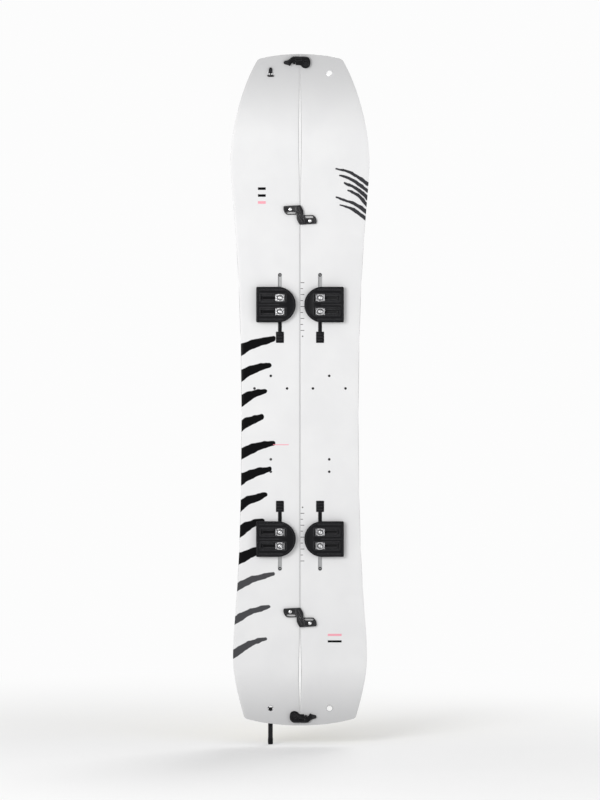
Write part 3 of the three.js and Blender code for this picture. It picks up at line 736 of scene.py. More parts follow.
# The stainless pieces get painted shade in their hollows (the last number).
STAINLESS = metal_material("stainless", (0.8, 0.8, 0.81), 0.22, 0.2, (0.2, 1, 1), 0.92)
BRIGHT_STEEL = metal_material("bright_steel", (0.8, 0.8, 0.81), 0.25, 0.15)
CHANNEL = metal_material("channel_aluminium", (0.5, 0.505, 0.51), 0.38, 0.3)
ANODISED = plastic_material("black_anodised", (0.008, 0.008, 0.0095), (0.09, 0.09, 0.095), 0.34, 0.3)
BLACK_PLASTIC = plastic_material("moulded_black", (0.004, 0.004, 0.005), (0.075, 0.075, 0.08), 0.42, 0.12)
DARK_INSERT = metal_material("insert_black", (0.03, 0.03, 0.032), 0.5, 0.4)
PLUSH = plush_material()
WEBBING = webbing_material()
THREAD = plastic_material("yellow_thread", (0.5, 0.38, 0.03), (0.6, 0.48, 0.06), 0.7)


# ---- Laminate ----


def cylinder_cutter(x, z, radius, count=32):
    obj = prism("cutter", circle(radius, count), -60, 60)
    return settle(obj, on_topsheet(x, z))


def slot_cutter(foot, side):
    z, turn = FEET[foot]
    slot = prism("cutter", rectangle(-4.5, 4.5, -70, 73.5, 4.45), -3, 3)
    mouth = prism("cutter", rectangle(-9.3, 9.3, -88, -62, 1.5), -3.1, 3.1)
    for obj in (slot, mouth):
        settle(obj, place(side * CHANNEL_X, -thickness(z), z, turn))
    return slot, mouth


def build_ski(name, side):
    body = f"{name}_ski"

    def plan(inset):
        return lambda row, u: board_plan(side, row, u, inset)

    def low_topsheet(x, z):
        return thickness(z) - TOPSHEET_THICK

    def high_topsheet(x, z):
        return thickness(z)

    print_name = f"{name}_topsheet_print"
    topsheet = grid_slab(print_name, BOARD_ROWS, SKI_COLUMNS, plan(0.0), low_topsheet, high_topsheet)
    ease(topsheet, 0.35, 2, 60)
    holes = [cylinder_cutter(side * x, z, HOLE_CUT) for x, z in (NOSE_HOLE, TAIL_HOLE)]
    holes += [cylinder_cutter(side * x, z, INSERT_CUT, 24) for x, z in INSERTS]
    holes += [cutter for foot in FEET for cutter in slot_cutter(foot, side)]
    for cutter in holes:
        boolean(topsheet, cutter)
    finish_piece(topsheet, body, TOPSHEET, "topsheet", f"{name}_topsheet")

    def low_base(x, z):
        return 0.0

    def high_base(x, z):
        return BASE_THICK

    base = grid_slab(f"{name}_base_print", BOARD_ROWS, SKI_COLUMNS, plan(2.3), low_base, high_base)
    for x, z in (NOSE_HOLE, TAIL_HOLE):
        boolean(base, cylinder_cutter(side * x, z, HOLE_CUT))
    for z in (CLIP_FROM_END, LENGTH - CLIP_FROM_END):
        boolean(base, cylinder_cutter(side * CLIP_X, z, PIVOT_CUT))
    finish_piece(base, body, base_material(side), "base_sheet", f"{name}_base_sheet")

    build_steel_edge(name, side, body)
    build_hole_liners(name, side, body)


def rim_points(side, inset):
    rim = rim_cells(len(BOARD_ROWS) - 1, SKI_COLUMNS)
    return [board_plan(side, BOARD_ROWS[r], c / SKI_COLUMNS, inset) for r, c in rim]


def build_steel_edge(name, side, body):
    """A closed steel strip with a slightly eased outer corner, right round the ski."""
    section = [(0.0, 0.35), (0.35, 0.0), (2.2, 0.0), (2.2, 1.95), (0.0, 1.95)]
    rings = []
    for inset, height in section:
        rings.append([point(x, -lift(z) - height, z) for x, z in rim_points(side, inset)])
    edge = loft(f"{name}_ground_edge", rings, closed=True)
    finish_piece(edge, body, STEEL, "edge_steel", f"{name}_steel_edge")


def tube(name, outer, inner, y_from, y_to, flange=0.0, flange_thick=0.0):
    """A liner: a tube about y with an optional flange at its y_to end."""
    profile = [(inner, y_from), (outer, y_from)]
    if flange:
        profile += [(outer, y_to + flange_thick), (flange, y_to + flange_thick), (flange - 0.3, y_to)]
    else:
        profile += [(outer, y_to)]
    profile += [(inner + 0.3, y_to), (inner, y_to + 0.3)]
    return loft(name, [turned_ring(radius, y, 32) for radius, y in profile], closed=True)


def build_hole_liners(name, side, body):
    """Steel liners in the nose and tail holes, and black insert nuts in the small holes."""
    for end, (x, z) in (("nose", NOSE_HOLE), ("tail", TAIL_HOLE)):
        deep = thickness(z) * math.cos(tilt(z)) - 0.2
        liner = tube(f"{name}_{end}_hole_liner", 7.25, 6.2, deep, -0.35, 8.4, 0.3)
        settle(liner, on_topsheet(side * x, z))
        finish_piece(liner, body, BRIGHT_STEEL, "channel_metal")
    for i, (x, z) in enumerate(INSERTS):
        nut = tube(f"{name}_insert_{i + 1}", 2.95, 1.9, 5.6, 0.15)
        settle(nut, on_topsheet(side * x, z))
        finish_piece(nut, body, DARK_INSERT, "black_aluminium")


for ski_name, ski_side in SIDES.items():
    build_ski(ski_name, ski_side)


# ---- Pucks ----

PUCK_HALF, ROUND_CENTRE, FLAT_END, FOOT_INSET = 41, 4.4, 54.7, 5.5


def puck_outline(shrink, corner=3.0):
    half = PUCK_HALF - shrink
    end = FLAT_END - shrink
    line = arc(end - corner, -half + corner, corner, 270, 360, 6)
    line += arc(end - corner, half - corner, corner, 0, 90, 6)
    return line + arc(ROUND_CENTRE, 0, half, 90, 270, 48)


def puck_blank():
    """The foot, the overhanging flange with a chamfered top, in one closed loft."""
    levels = [
        (FOOT_INSET + 0.6, -0.3),
        (FOOT_INSET, -0.9),
        (FOOT_INSET, -6.8),
        (0.5, -6.8),
        (0.0, -7.3),
        (0.0, -12.9),
        (0.35, -13.65),
        (1.1, -14.0),
        (3.2, -14.0),
        (4.2, -13.0),
    ]
    rings = []
    for shrink, y in levels:
        rings.append([(x * MM, y * MM, z * MM) for x, z in puck_outline(shrink)])
    return loft("puck", rings)


def puck_mesh():
    puck = puck_blank()
    for z in (-SCREW_PITCH / 2, SCREW_PITCH / 2):
        collar = rectangle(-15.4, 46.6, z - 10.4, z + 10.4, 3.2)
        weld(puck, collar, -8, -13.8)
    for z in (-SCREW_PITCH / 2, SCREW_PITCH / 2):
        carve(puck, rectangle(-13.4, 44.9, z - 8.6, z + 8.6, 2.0), -7.6, -20)
        for edge in (-1, 1):
            step = z + edge * 6.6
            ledge = rectangle(13.5, 44.5, step - 1.9, step + 1.9, 0.3, 2)
            weld(puck, ledge, -7.2, -11.4)
            for i in range(6):
                x = 16 + i * 4.6
                notch = rectangle(x, x + 2.2, step - 2.1, step + 2.1, 0.3, 2)
                carve(puck, notch, -10.4, -12.5)
        carve(puck, rectangle(-7.4, 39.9, z - 3.6, z + 3.6, 3.5), -1.6, -20)
        carve(puck, circle(3.2, 24, 0, z), 5, -20)
    for z in (-PUCK_HALF + 7.2, 0, PUCK_HALF - 7.2):
        groove = rectangle(-6 if z else 2, 48, z - 0.9, z + 0.9, 0.85, 3)
        carve(puck, groove, -12.2, -20)
    return eased_mesh(puck, 0.28, 2, 50)


def washer_mesh():
    """A serrated plate: saw teeth along both ends and a dished middle that the screw head sits in."""
    line = [(-10.6, -7.9), (10.6, -7.9)]
    for start in (10.6, -5.0):
        for i in range(4):
            x = start - i * 1.4
            line += [(x, -11.8), (x - 1.0, -10.8)]
        line += [(start - 5.6, -10.8)]
    bm = bmesh.new()
    ends = [[bm.verts.new((x * MM, y * MM, z * MM)) for x, y in line] for z in (-8.1, 8.1)]
    for end in ends:
        bm.faces.new(end)
    for i in range(len(line)):
        j = (i + 1) % len(line)
        bm.faces.new((ends[0][i], ends[0][j], ends[1][j], ends[1][i]))
    washer = mesh_object("washer", bm)
    boolean(washer, lathe("dish", [(0, -8.9), (5.6, -8.9), (6.9, -10.6), (6.9, -14), (0, -14)], 48))
    carve(washer, circle(3.2, 32), 5, -20)
    return eased_mesh(washer, 0.12, 1, 50)


def screw_mesh(profile, socket_radius, socket_from):
    screw = lathe("screw", profile)
    carve(screw, circle(socket_radius, 6), socket_from, -40)
    return eased_mesh(screw, 0.15, 2, 45)


def dome(radius, y_low, y_high, count=6):
    """A rounded head from its rim to the axis."""
    angles = np.linspace(0, math.pi / 2, count)
    return [(radius * math.cos(a), y_low + (y_high - y_low) * math.sin(a)) for a in angles]


PUCK_MESH = puck_mesh()
WASHER_MESH = washer_mesh()
PUCK_SCREW_LINE = [(0, 4.9), (2.9, 4.9), (2.9, -9.4), (4.7, -9.4)] + dome(4.7, -10.2, -13.0)
PUCK_SCREW_MESH = screw_mesh(PUCK_SCREW_LINE, 1.9, -11.0)
END_SCREW_MESH = screw_mesh([(0, 5.9), (3.9, 5.9), (3.9, 5.14), (0, 5.14)], 1.7, 5.6)
END_SCREW_MESH.transform(Matrix.Translation((0, 0, SLOT_END * MM)))


def placed_copy(name, mesh, matrix):
    obj = bpy.data.objects.new(name, mesh.copy())
    bpy.context.scene.collection.objects.link(obj)
    return settle(obj, matrix)


for foot_name, (foot_z, foot_turn) in FEET.items():
    for ski_name, ski_side in SIDES.items():
        prefix = f"{foot_name}_{ski_name}"
        puck_body = f"{prefix}_binding_puck"
        seat = place(ski_side * CHANNEL_X, -thickness(foot_z), foot_z, 0.0 if ski_side > 0 else math.pi)
        piece = placed_copy(f"{prefix}_moulded_puck", PUCK_MESH, seat)
        finish_piece(piece, puck_body, BLACK_PLASTIC, "black_plastic", f"{prefix}_puck")
        for number, row in ((1, -1), (2, 1)):
            at_row = seat @ Matrix.Translation((0, 0, row * SCREW_PITCH / 2 * MM))
            piece = placed_copy(f"{prefix}_toothed_washer_{number}", WASHER_MESH, at_row)
            finish_piece(piece, puck_body, STAINLESS, "stainless", f"{prefix}_washer_{number}")
            piece = placed_copy(f"{prefix}_socket_screw_{number}", PUCK_SCREW_MESH, at_row)
            finish_piece(piece, puck_body, STAINLESS, "stainless", f"{prefix}_puck_screw_{number}")
        channel_place = place(ski_side * CHANNEL_X, -thickness(foot_z), foot_z, foot_turn)
        # Painted shade: the end screw is dark metal, standing in for the shade in the hole at the end of the
        # slot.
        piece = placed_copy(f"{prefix}_channel_end_screw", END_SCREW_MESH, channel_place)
        finish_piece(piece, f"{ski_name}_ski", DARK_INSERT, "black_aluminium")
        cover = prism(f"{prefix}_mouth_cover", rectangle(-9.0, 9.0, -87.7, -62.3, 1.6), 0.6, -0.9)
        weld(cover, rectangle(-4.1, 4.1, -80, -37, 2), 2, -0.25)
        for i in range(3):
            rib_z = -82 + i * 7
            weld(cover, rectangle(-5.5, 5.5, rib_z, rib_z + 1.6, 0.7, 3), 0, -1.5)
        ease(cover, 0.3, 2, 50)
        settle(cover, channel_place)
        finish_piece(cover, f"{ski_name}_ski", BLACK_PLASTIC, "black_plastic", f"{prefix}_channel_cover")


# ---- Hooks across the seam ----

RAMP = 0.5
HOOK_SCREW = (-22.7, 13.2)


def hook_outline():
    line = [(-30, 0.4), (-8.4, 0.4), (-8.4, 8), (-RAMP * 8 + 0.3, 8), (RAMP * 7.4 + 0.3, -7.4), (6.8, -7.4)]
    bend(line, (7.8, -7.4), (7.8, -5.4))
    line += [(7.8, 8)]
    bend(line, (7.3, 13), (0.5, 22.6))
    line += [(-35, 20.6)]
    bend(line, (-38.4, 20.3), (-38.4, 16))
    return line + quad((-38.4, 16), (-38, 5), (-30, 0.4), 10)[1:-1]


def hook_mesh():
    """A plate with a pocket for its screw and a long slot beside it, and the raised ramp of the joint."""
    hook = prism("hook", hook_outline(), -0.3, -4.6)
    band = prism("band", hook_outline(), -1, -5.8)
    boolean(band, prism("keep", [(-9.6, -20), (20, -20), (20, 40), (-9.6, 40)], 20, -20), "INTERSECT")
    boolean(hook, band, "UNION")
    carve(hook, rectangle(-35.2, -10.2, 8.4, 19.2, 4), -3.3, -20)
    carve(hook, rectangle(-31, -10.6, 2.6, 6.8, 2.0), 5, -20)
    carve(hook, circle(2.8, 24, *HOOK_SCREW), 5, -20)
    for offset in (-3.6, 3.8):
        start = offset + RAMP * 6
        end = offset - RAMP * 17
        groove = [(start, -6), (start + 1, -6), (end + 1, 17), (end, 17)]
        carve(hook, groove, -5.1, -20)
    return eased_mesh(hook, 0.45, 3, 40)


HOOK_MESH = hook_mesh()
HOOK_SCREW_LINE = [(0, 4.6), (2.5, 4.6), (2.5, -3.6), (4.4, -3.6)] + dome(4.4, -4.0, -6.0)
HOOK_SCREW_MESH = screw_mesh(HOOK_SCREW_LINE, 1.7, -4.7)

for hook_name, hook_z in HOOKS.items():
    for ski_name, ski_side in SIDES.items():
        seat = place(0, -thickness(hook_z), hook_z, 0.0 if ski_side < 0 else math.pi)
        piece = placed_copy(f"{hook_name}_{ski_name}_seam_hook", HOOK_MESH, seat)
        finish_piece(piece, f"{ski_name}_ski", ANODISED, "black_aluminium", f"{hook_name}_{ski_name}_hook")
        at_screw = seat @ Matrix.Translation((HOOK_SCREW[0] * MM, 0, HOOK_SCREW[1] * MM))
        piece = placed_copy(f"{hook_name}_{ski_name}_seam_hook_screw", HOOK_SCREW_MESH, at_screw)
        finish_piece(piece, f"{ski_name}_ski", STAINLESS, "stainless", f"{hook_name}_{ski_name}_hook_screw")


# ---- Nose and tail clips ----

NOTCH_RADIUS = 3.8
POST_X = -2 * CLIP_X


def lever_outline():
    slant = 38
    c, s = math.cos(math.radians(slant)), math.sin(math.radians(slant))
    line = [(POST_X + NOTCH_RADIUS, -4.5)]
    line += arc(POST_X, 0, NOTCH_RADIUS, 0, 180 - slant, 16)
    line += [(POST_X - NOTCH_RADIUS * c - 6, NOTCH_RADIUS * s - 7.7)]
    bend(line, (POST_X - 11, -8), (POST_X - 13, -5))
    line += [(-47, -3.5)]
    bend(line, (-51, -2.6), (-51, 0.6))
    bend(line, (-51, 3.6), (-47, 4.6))
    bend(line, (-40, 5.5), (-36.5, 9.5))
    bend(line, (-33, 14), (-27, 14.6))
    line += [(0, 14.2)]
    bend(line, (10, 13), (10.2, 1), 14)
    bend(line, (10, -11.5), (0, -12), 14)
    bend(line, (-8, -12), (-11, -6))
    return line + quad((-11, -6), (-13, -4.5), (-16, -4.5))[1:]


def lever_mesh():
    lever = prism("lever", lever_outline(), -0.6, -7)
    carve(lever, rectangle(-60, -39, -20, 20, 1), -5, -20)
    carve(lever, circle(2.8, 32), 5, -20)
    carve(lever, circle(6.6, 40), -6.2, -20)
    pocket = rectangle(-24, -10.5, 5.6, 11.6, 2)
    carve(lever, pocket, -4.6, -20)
    for i in range(3):
        rib = rectangle(-48.5 + i * 2.7, -47.2 + i * 2.7, -2.6, 3.4, 0.5, 3)
        weld(lever, rib, -4, -5.8)
    return eased_mesh(lever, 0.6, 3, 40)


LEVER_MESH = lever_mesh()
for clip_name, clip_z, pivot_side in (("nose", LENGTH - CLIP_FROM_END, 1), ("tail", CLIP_FROM_END, -1)):
    seat = on_topsheet(pivot_side * CLIP_X, clip_z, 0.0 if pivot_side > 0 else math.pi)
    piece = placed_copy(f"{clip_name}_clip_moulded_lever", LEVER_MESH, seat)
    finish_piece(piece, f"{clip_name}_clip", BLACK_PLASTIC, "black_plastic", f"{clip_name}_clip_lever")


# ---- Climbing skin ----

SKIN_LOW, SKIN_THICK = 0.3, 2.2
SKIN_TAIL_Z, SKIN_NOSE_Z = 101, 1488
INNER_NOSE = bezier([(5.5, 1392), (7, 1440), (22, 1470), (31, SKIN_NOSE_Z)], 30)
OUTER_NOSE = bezier([(170, 1330), (150, 1410), (122, 1460), (104, SKIN_NOSE_Z)], 40)
OUTER_TAIL = bezier([(107, SKIN_TAIL_Z), (140, 175), (152, 230), (170, 290)], 40)


def skin_edges(z):
    inner = seam_gap(z) + 5
    if z < 182:
        inner = max(inner, 35 - 29.5 * (z - SKIN_TAIL_Z) / 81)
    if z > 1392:
        inner = max(inner, float(np.interp(z, INNER_NOSE[:, 1], INNER_NOSE[:, 0])))
    outer = side_x(z) - 5
    if z > 1330:
        outer = min(outer, float(np.interp(z, OUTER_NOSE[:, 1], OUTER_NOSE[:, 0])))
    if z < 290:
        outer = min(outer, float(np.interp(z, OUTER_TAIL[:, 1], OUTER_TAIL[:, 0])))
    return inner, outer


def skin_plan(row, u):
    inner, outer = skin_edges(row)
    fray = 0.18 * math.sin(row * 1.7) + 0.12 * math.sin(row * 4.3 + 1)
    x = inner + (outer - inner) * u
    edge = abs(2 * u - 1) ** 12
    return -(x + fray * edge), row


def skin_wave(x, z):
    return 0.12 * math.sin(z * 0.021 + x * 0.05) + 0.08 * math.sin(z * 0.057 - x * 0.11)


SKIN_ROWS = np.concatenate(
    [
        np.linspace(SKIN_TAIL_Z, 300, 80)[:-1],
        np.linspace(300, 1230, 240)[:-1],
        np.linspace(1230, SKIN_NOSE_Z, 110),
    ]
)
skin = grid_slab(
    "plush_skin",
    SKIN_ROWS,
    24,
    skin_plan,
    lambda x, z: -SKIN_LOW - SKIN_THICK + skin_wave(x, z) * 0.5,
    lambda x, z: -SKIN_LOW,
)
ease(skin, 0.7, 3, 60)
finish_piece(skin, "left_ski", PLUSH, "skin_plush", "climbing_skin", angle=60)


def on_base(z, depth):
    """A frame on the base side of the board at z, depth millimetres behind its surface."""
    lean = tilt(z)
    along = Vector((0, -math.sin(lean), math.cos(lean)))
    out = Vector((0, math.cos(lean), math.sin(lean)))
    return point(-SKIN_X, -lift(z), z) + out * (depth * MM), along, out


def strap_section(half_width, half_thick, count=5):
    """A flat strap's section with rounded edges."""
    line = arc(half_width - half_thick, 0, half_thick, -90, 90, count)
    return line + arc(-half_width + half_thick, 0, half_thick, 90, 270, count)


# The webbing is sewn into the skin, runs under the bail's top bar, round it and back to a row of stitches.
hook_x, tail_hole_z = TAIL_HOLE
tail_place = place(-hook_x, -lift(tail_hole_z), tail_hole_z, 0.0, tilt(tail_hole_z))
BAIL_TOP = (3.6, 36.5)
WIRE_RADIUS = 1.5
WEBBING_HALF, LOOP_HALF = 14, 9.4
WRAP_RADIUS = WIRE_RADIUS + 0.2 + 0.8
UNDER_POINTS = 16
sewn_depth = SKIN_LOW + SKIN_THICK / 2 + 0.1


def loop_line():
    """Centre line of the webbing beside its bar, as (distance from the bar along the board, depth)."""
    bar_centre = tail_place @ Vector((0, BAIL_TOP[0] * MM, BAIL_TOP[1] * MM))
    bar_z = bar_centre.z / MM - Z0 / MM
    surface, along, out = on_base(bar_z, 0)
    bar_depth = (bar_centre - surface).dot(out) / MM
    bar_z += (bar_centre - surface).dot(along) / MM
    at_bar = (bar_z + 3, bar_depth - WRAP_RADIUS)
    under = bezier([(116, sewn_depth), (98, sewn_depth), (90, sewn_depth), at_bar], UNDER_POINTS)
    round_bar = arc(bar_z, bar_depth, WRAP_RADIUS, -90, -270, 14)
    off_bar = [(bar_z + 1, bar_depth + WRAP_RADIUS), (bar_z + 9, bar_depth + 1.6)]
    over = bezier(off_bar + [(88, 3.3), (97.5, 3.3)], 14)
    return [tuple(p) for p in under] + round_bar + [tuple(p) for p in over]


webbing_path = []
webbing_line = [Vector(p) for p in loop_line()]
for i, here in enumerate(webbing_line):
    ahead = webbing_line[min(i + 1, len(webbing_line) - 1)] - webbing_line[max(i - 1, 0)]
    centre, along, out = on_base(here.x, here.y)
    turned_out = (along * ahead.y - out * ahead.x).normalized()
    share = max(0, min(1, (here.x - 84) / 8))
    half = LOOP_HALF + (WEBBING_HALF - LOOP_HALF) * share if i < UNDER_POINTS else LOOP_HALF
    webbing_path.append((centre, Vector((half / WEBBING_HALF, 0, 0)), turned_out))
webbing = sweep("tail_webbing_strip", webbing_path, strap_section(WEBBING_HALF, 0.8))
finish_piece(webbing, "left_ski", WEBBING, "black_webbing", "skin_tail_webbing", angle=50)


def stitch_rows():
    """Box stitching with a cross, as two-ended runs (x, z) on the webbing."""
    left, right, low, high = -SKIN_X - 12, -SKIN_X + 12, 103.6, 118
    return [
        ((left, low), (right, low)),
        ((left, high), (right, high)),
        ((left, low), (left, high)),
        ((right, low), (right, high)),
        ((left, low), (right, high)),
        ((left, high), (right, low)),
    ]


def build_stitches():
    bm = bmesh.new()
    for start, end in stitch_rows():
        a, b = Vector(start), Vector(end)
        count = int((b - a).length / 2.6)
        for i in range(count):
            middle = a.lerp(b, (i + 0.5) / count)
            direction = (b - a).normalized()
            centre, along, out = on_base(middle.y, SKIN_LOW + SKIN_THICK + 0.02)
            centre.x = middle.x * MM
            length_axis = Vector((1, 0, 0)) * direction.x + along * direction.y
            width_axis = length_axis.cross(out)
            made = bmesh.ops.create_icosphere(bm, subdivisions=2, radius=1.0)
            matrix = Matrix.Identity(4)
            for column, (axis, size) in enumerate(((length_axis, 1.0), (width_axis, 0.3), (out, 0.22))):
                for row in range(3):
                    matrix[row][column] = axis[row] * size * MM
            matrix.translation = centre
            bmesh.ops.transform(bm, matrix=matrix, verts=made["verts"])
    stitches = mesh_object("tail_webbing_stitches", bm)
    finish_piece(stitches, "left_ski", THREAD, "black_webbing")


build_stitches()

# The tip connector: a ribbed plate over the skin's nose end, and a hook through the nose hole.
nose_x, nose_z = NOSE_HOLE
tip_place = on_topsheet(-nose_x, nose_z)
to_base = thickness(nose_z) * math.cos(tilt(nose_z))
plate_front = to_base + SKIN_LOW + SKIN_THICK + 0.4
tip_plate = prism("tip_connector_plate", rectangle(-33, 33, -15, 10, 5), plate_front, plate_front + 3)
upper_band = rectangle(-33, 33, -1, 13, 2)
weld(tip_plate, upper_band, plate_front, plate_front + 4)
for groove_z in (1.2, 9.8):
    groove = rectangle(-30.5, 30.5, groove_z, groove_z + 1, 0.45, 3)
    carve(tip_plate, groove, plate_front + 3.5, plate_front + 9)
for rivet_x in (-26, 26):
    weld(tip_plate, circle(2.3, 24, rivet_x, 6), plate_front + 2, plate_front + 4.3)
ease(tip_plate, 0.6, 3, 40)
finish_piece(settle(tip_plate, tip_place), "left_ski", BLACK_PLASTIC, "black_plastic", "skin_tip_plate")

bush_line = [(0, 1.2), (5.2, 1.2), (5.9, 1.9), (5.9, plate_front), (0, plate_front)]
bush = lathe("tip_connector_bush", bush_line)
finish_piece(settle(bush, tip_place), "left_ski", BRIGHT_STEEL, "stainless")

finger_line = [(-4.4, 1.0), (4.4, 1.0), (4.2, 8)] + quad((4.2, 8), (3.6, 14), (0, 14.2))[1:]
finger_line += quad((0, 14.2), (-3.6, 14), (-4.2, 8))[1:]
finger = prism("tip_connector_hook", finger_line, -0.6, -4.2)
weld(finger, rectangle(-2.2, 2.2, 1.4, 4.4, 0.6), plate_front, -3.2)
bar_line = quad((-7.4, -3.6), (0, -5.0), (7.4, -3.6)) + quad((7.4, -6.6), (0, -8.4), (-7.4, -6.6))
weld(finger, bar_line, -0.6, -3.4)
weld(finger, rectangle(-1.1, 1.1, -5, 2, 0.3), -0.7, -2.6)
for rib_z in (5.2, 8.2):
    carve(finger, rectangle(-2.6, 2.6, rib_z, rib_z + 1.3, 0.6, 3), -3.4, -20)
ease(finger, 0.4, 3, 40)
finish_piece(settle(finger, tip_place), "left_ski", BLACK_PLASTIC, "black_plastic", "skin_tip_hook")

# The tail hook: a wire bail hung from the webbing, a moulded body and a prong through the tail hole.


def rounded_loop(corners, radius, count=8):
    """A closed loop of (x, z) points through corners that are rounded off."""
    line = []
    total = len(corners)
    for i, corner in enumerate(corners):
        here = Vector(corner)
        before = (Vector(corners[i - 1]) - here).normalized() * radius
        after = (Vector(corners[(i + 1) % total]) - here).normalized() * radius
        line += quad(tuple(here + before), corner, tuple(here + after), count)
    return line


def wire_loop(name, corners, corner_radius, wire_radius, depth):
    """A bent wire; depth(z) gives how far from the board each point of it lies."""
    line = rounded_loop(corners, corner_radius)
    path = []
    for i, (x, z) in enumerate(line):
        nx, nz = line[(i + 1) % len(line)]
        px, pz = line[i - 1]
        tangent = Vector((nx - px, 0, nz - pz)).normalized()
        side_axis = Vector((0, 1, 0)).cross(tangent)
        path.append((Vector((x, depth(z), z)) * MM, side_axis, Vector((0, 1, 0))))
    return sweep(name, path, circle(wire_radius, 12), closed=True)


def bail_depth(z):
    return BAIL_TOP[0] + 2.0 * min(1, (BAIL_TOP[1] - z) / 10)


bail_corners = [(-13.5, BAIL_TOP[1]), (13.5, BAIL_TOP[1]), (3.4, -1), (-3.4, -1)]
bail = wire_loop("tail_hook_bail", bail_corners, 3.4, WIRE_RADIUS, bail_depth)
finish_piece(settle(bail, tail_place), "skin_tail_catch", STEEL, "stainless", angle=60)

slider_line = rectangle(-9, 9, 11, 26, 3)
slider = prism("tail_hook_slider", slider_line, 3.4, 7.9)
carve(slider, rectangle(-6.5, 6.5, 15.5, 17.3, 0.8), 0, 20)
carve(slider, rectangle(-6.5, 6.5, 20, 21.8, 0.8), 0, 20)
ease(slider, 0.7, 3, 40)
finish_piece(settle(slider, tail_place), "skin_tail_catch", BLACK_PLASTIC, "black_plastic")

# The prong is a squared peg on a moulded block that the bail runs through.
prong = prism("tail_hook_prong", rectangle(-4.4, 4.4, -8.6, 1.4, 2), 3.4, 7.8)
weld(prong, rectangle(-3, 3, -5, 1, 1.2), 5, -4.4)
ease(prong, 0.5, 3, 40)
finish_piece(settle(prong, tail_place), "skin_tail_catch", BLACK_PLASTIC, "black_plastic", "skin_tail_hook")

STRAP_START = 8.2
strap_curve = [(STRAP_START, -1.5), (STRAP_START, -22), (STRAP_START + 4, -44), (STRAP_START + 15, -80)]
strap_line = bezier(strap_curve, 60)
strap_path = []
for i, (y, z) in enumerate(strap_line):
    ahead = strap_line[min(i + 1, len(strap_line) - 1)] - strap_line[max(i - 1, 0)]
    out = Vector((0, -ahead[1], ahead[0])).normalized()
    twist = Matrix.Rotation(0.1 * math.sin(i * 0.11), 3, "Z")
    strap_path.append((Vector((0, y, z)) * MM + out * (0.9 * MM), twist @ Vector((1, 0, 0)), twist @ out))
strap = sweep("tail_pull_strap", strap_path, strap_section(5.4, 0.85))
settle(strap, tail_place)
finish_piece(strap, "skin_tail_catch", WEBBING, "black_webbing", "skin_pull_strap", angle=50)

tab_path = strap_path[-9:-1]
tab = sweep("tail_pull_tab", tab_path, strap_section(5.9, 1.35))
ease(tab, 0.3, 2, 50)
finish_piece(settle(tab, tail_place), "skin_tail_catch", BLACK_PLASTIC, "black_plastic", angle=50)


# ---- CAD nodes that stay ----

KEPT = {
    "wood_core": SIDEWALL,
    "channel": CHANNEL,
    "nut_plate": STAINLESS,
    "clip_pivot_bolt": DARK_INSERT,
    "clip_post": DARK_INSERT,
}
for node_name, node in nodes.items():
    if node.hide_render:
        continue
    material = next(m for end, m in KEPT.items() if node_name.endswith(end))
    node.data.materials.clear()
    node.data.materials.append(material)
    smooth(node)
    if not node_name.endswith("wood_core"):
        bevel(node, 0.25, 2, 40)


# ---- Studio ----

BACKGROUND = (0.975, 0.975, 0.975, 1)


def floor_material():
    """White paper near the board that fades into the background, so that there is no horizon line."""
    s = Shader("studio_white", roughness=0.9, specular=0.1)
    cloud = s.noise(s.object_coordinates, 1.5, 2.0)
    s.set("Base Color", s.mix(s.fade(cloud, 0.3, 0.7), (0.93, 0.93, 0.93, 1), (0.91, 0.91, 0.91, 1)))
    away = s.fade(s.vector("LENGTH", s.object_coordinates), 0.35, 1.9, smooth=True)
    glow = s.tree.nodes.new("ShaderNodeEmission")
    glow.inputs[0].default_value = BACKGROUND
    blend = s.tree.nodes.new("ShaderNodeMixShader")
    s.tree.links.new(away, blend.inputs[0])
    s.tree.links.new(s.surface.outputs[0], blend.inputs[1])
    s.tree.links.new(glow.outputs[0], blend.inputs[2])
    s.tree.links.new(blend.outputs[0], s.output.inputs[0])
    return s.material


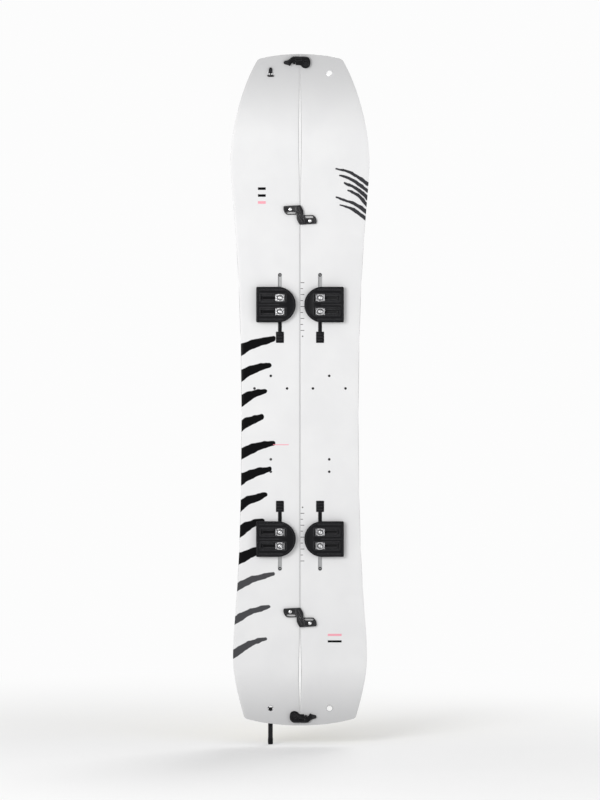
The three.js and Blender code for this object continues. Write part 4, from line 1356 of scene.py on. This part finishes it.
def build_floor():
    bm = bmesh.new()
    reach = 60
    bm.faces.new([bm.verts.new((x * reach, y * reach, 0)) for x, y in ((-1, -1), (1, -1), (1, 1), (-1, 1))])
    floor = mesh_object("studio_floor", bm)
    floor.data.materials.append(floor_material())


def studio_world(light_strength):
    """The camera sees the background colour; everything else is lit by a softer white."""
    world = bpy.data.worlds.new("studio")
    world.use_nodes = True
    tree = world.node_tree
    shown = tree.nodes["Background"]
    shown.inputs[0].default_value = BACKGROUND
    soft = tree.nodes.new("ShaderNodeBackground")
    soft.inputs[0].default_value = (1, 1, 1, 1)
    soft.inputs[1].default_value = light_strength
    rays = tree.nodes.new("ShaderNodeLightPath")
    blend = tree.nodes.new("ShaderNodeMixShader")
    tree.links.new(rays.outputs["Is Camera Ray"], blend.inputs[0])
    tree.links.new(soft.outputs[0], blend.inputs[1])
    tree.links.new(shown.outputs[0], blend.inputs[2])
    tree.links.new(blend.outputs[0], tree.nodes["World Output"].inputs[0])
    bpy.context.scene.world = world


def area_light(name, location, target, size, power):
    light = bpy.data.lights.new(name, "AREA")
    light.shape = "RECTANGLE"
    light.size, light.size_y = size
    light.energy = power
    obj = bpy.data.objects.new(name, light)
    obj.location = location
    obj.rotation_euler = (Vector(target) - Vector(location)).to_track_quat("-Z", "Y").to_euler()
    bpy.context.scene.collection.objects.link(obj)


build_floor()
area_light("key", (-1.5, -2.6, 1.4), (0, 0, 0.6), (1.4, 1.2), 46)
area_light("fill", (2.4, -2.4, 0.6), (0, 0, 0.6), (1.6, 2.2), 14)
area_light("back", (1.0, 2.2, 2.0), (0, 0, 0.7), (1.6, 2.0), 34)

studio_world(0.56)
bpy.context.scene.view_settings.view_transform = "Standard"

camera_data = bpy.data.cameras.new("camera")
camera_data.lens = 135
camera_data.sensor_width = 36
camera = bpy.data.objects.new("camera", camera_data)
centre_z = (cad_bounds[0].z + cad_bounds[1].z) / 2
camera.location = (0, -6.9, centre_z)
camera.rotation_euler = (math.pi / 2, 0, 0)
camera_data.clip_end = 100
bpy.context.scene.collection.objects.link(camera)
bpy.context.scene.camera = camera
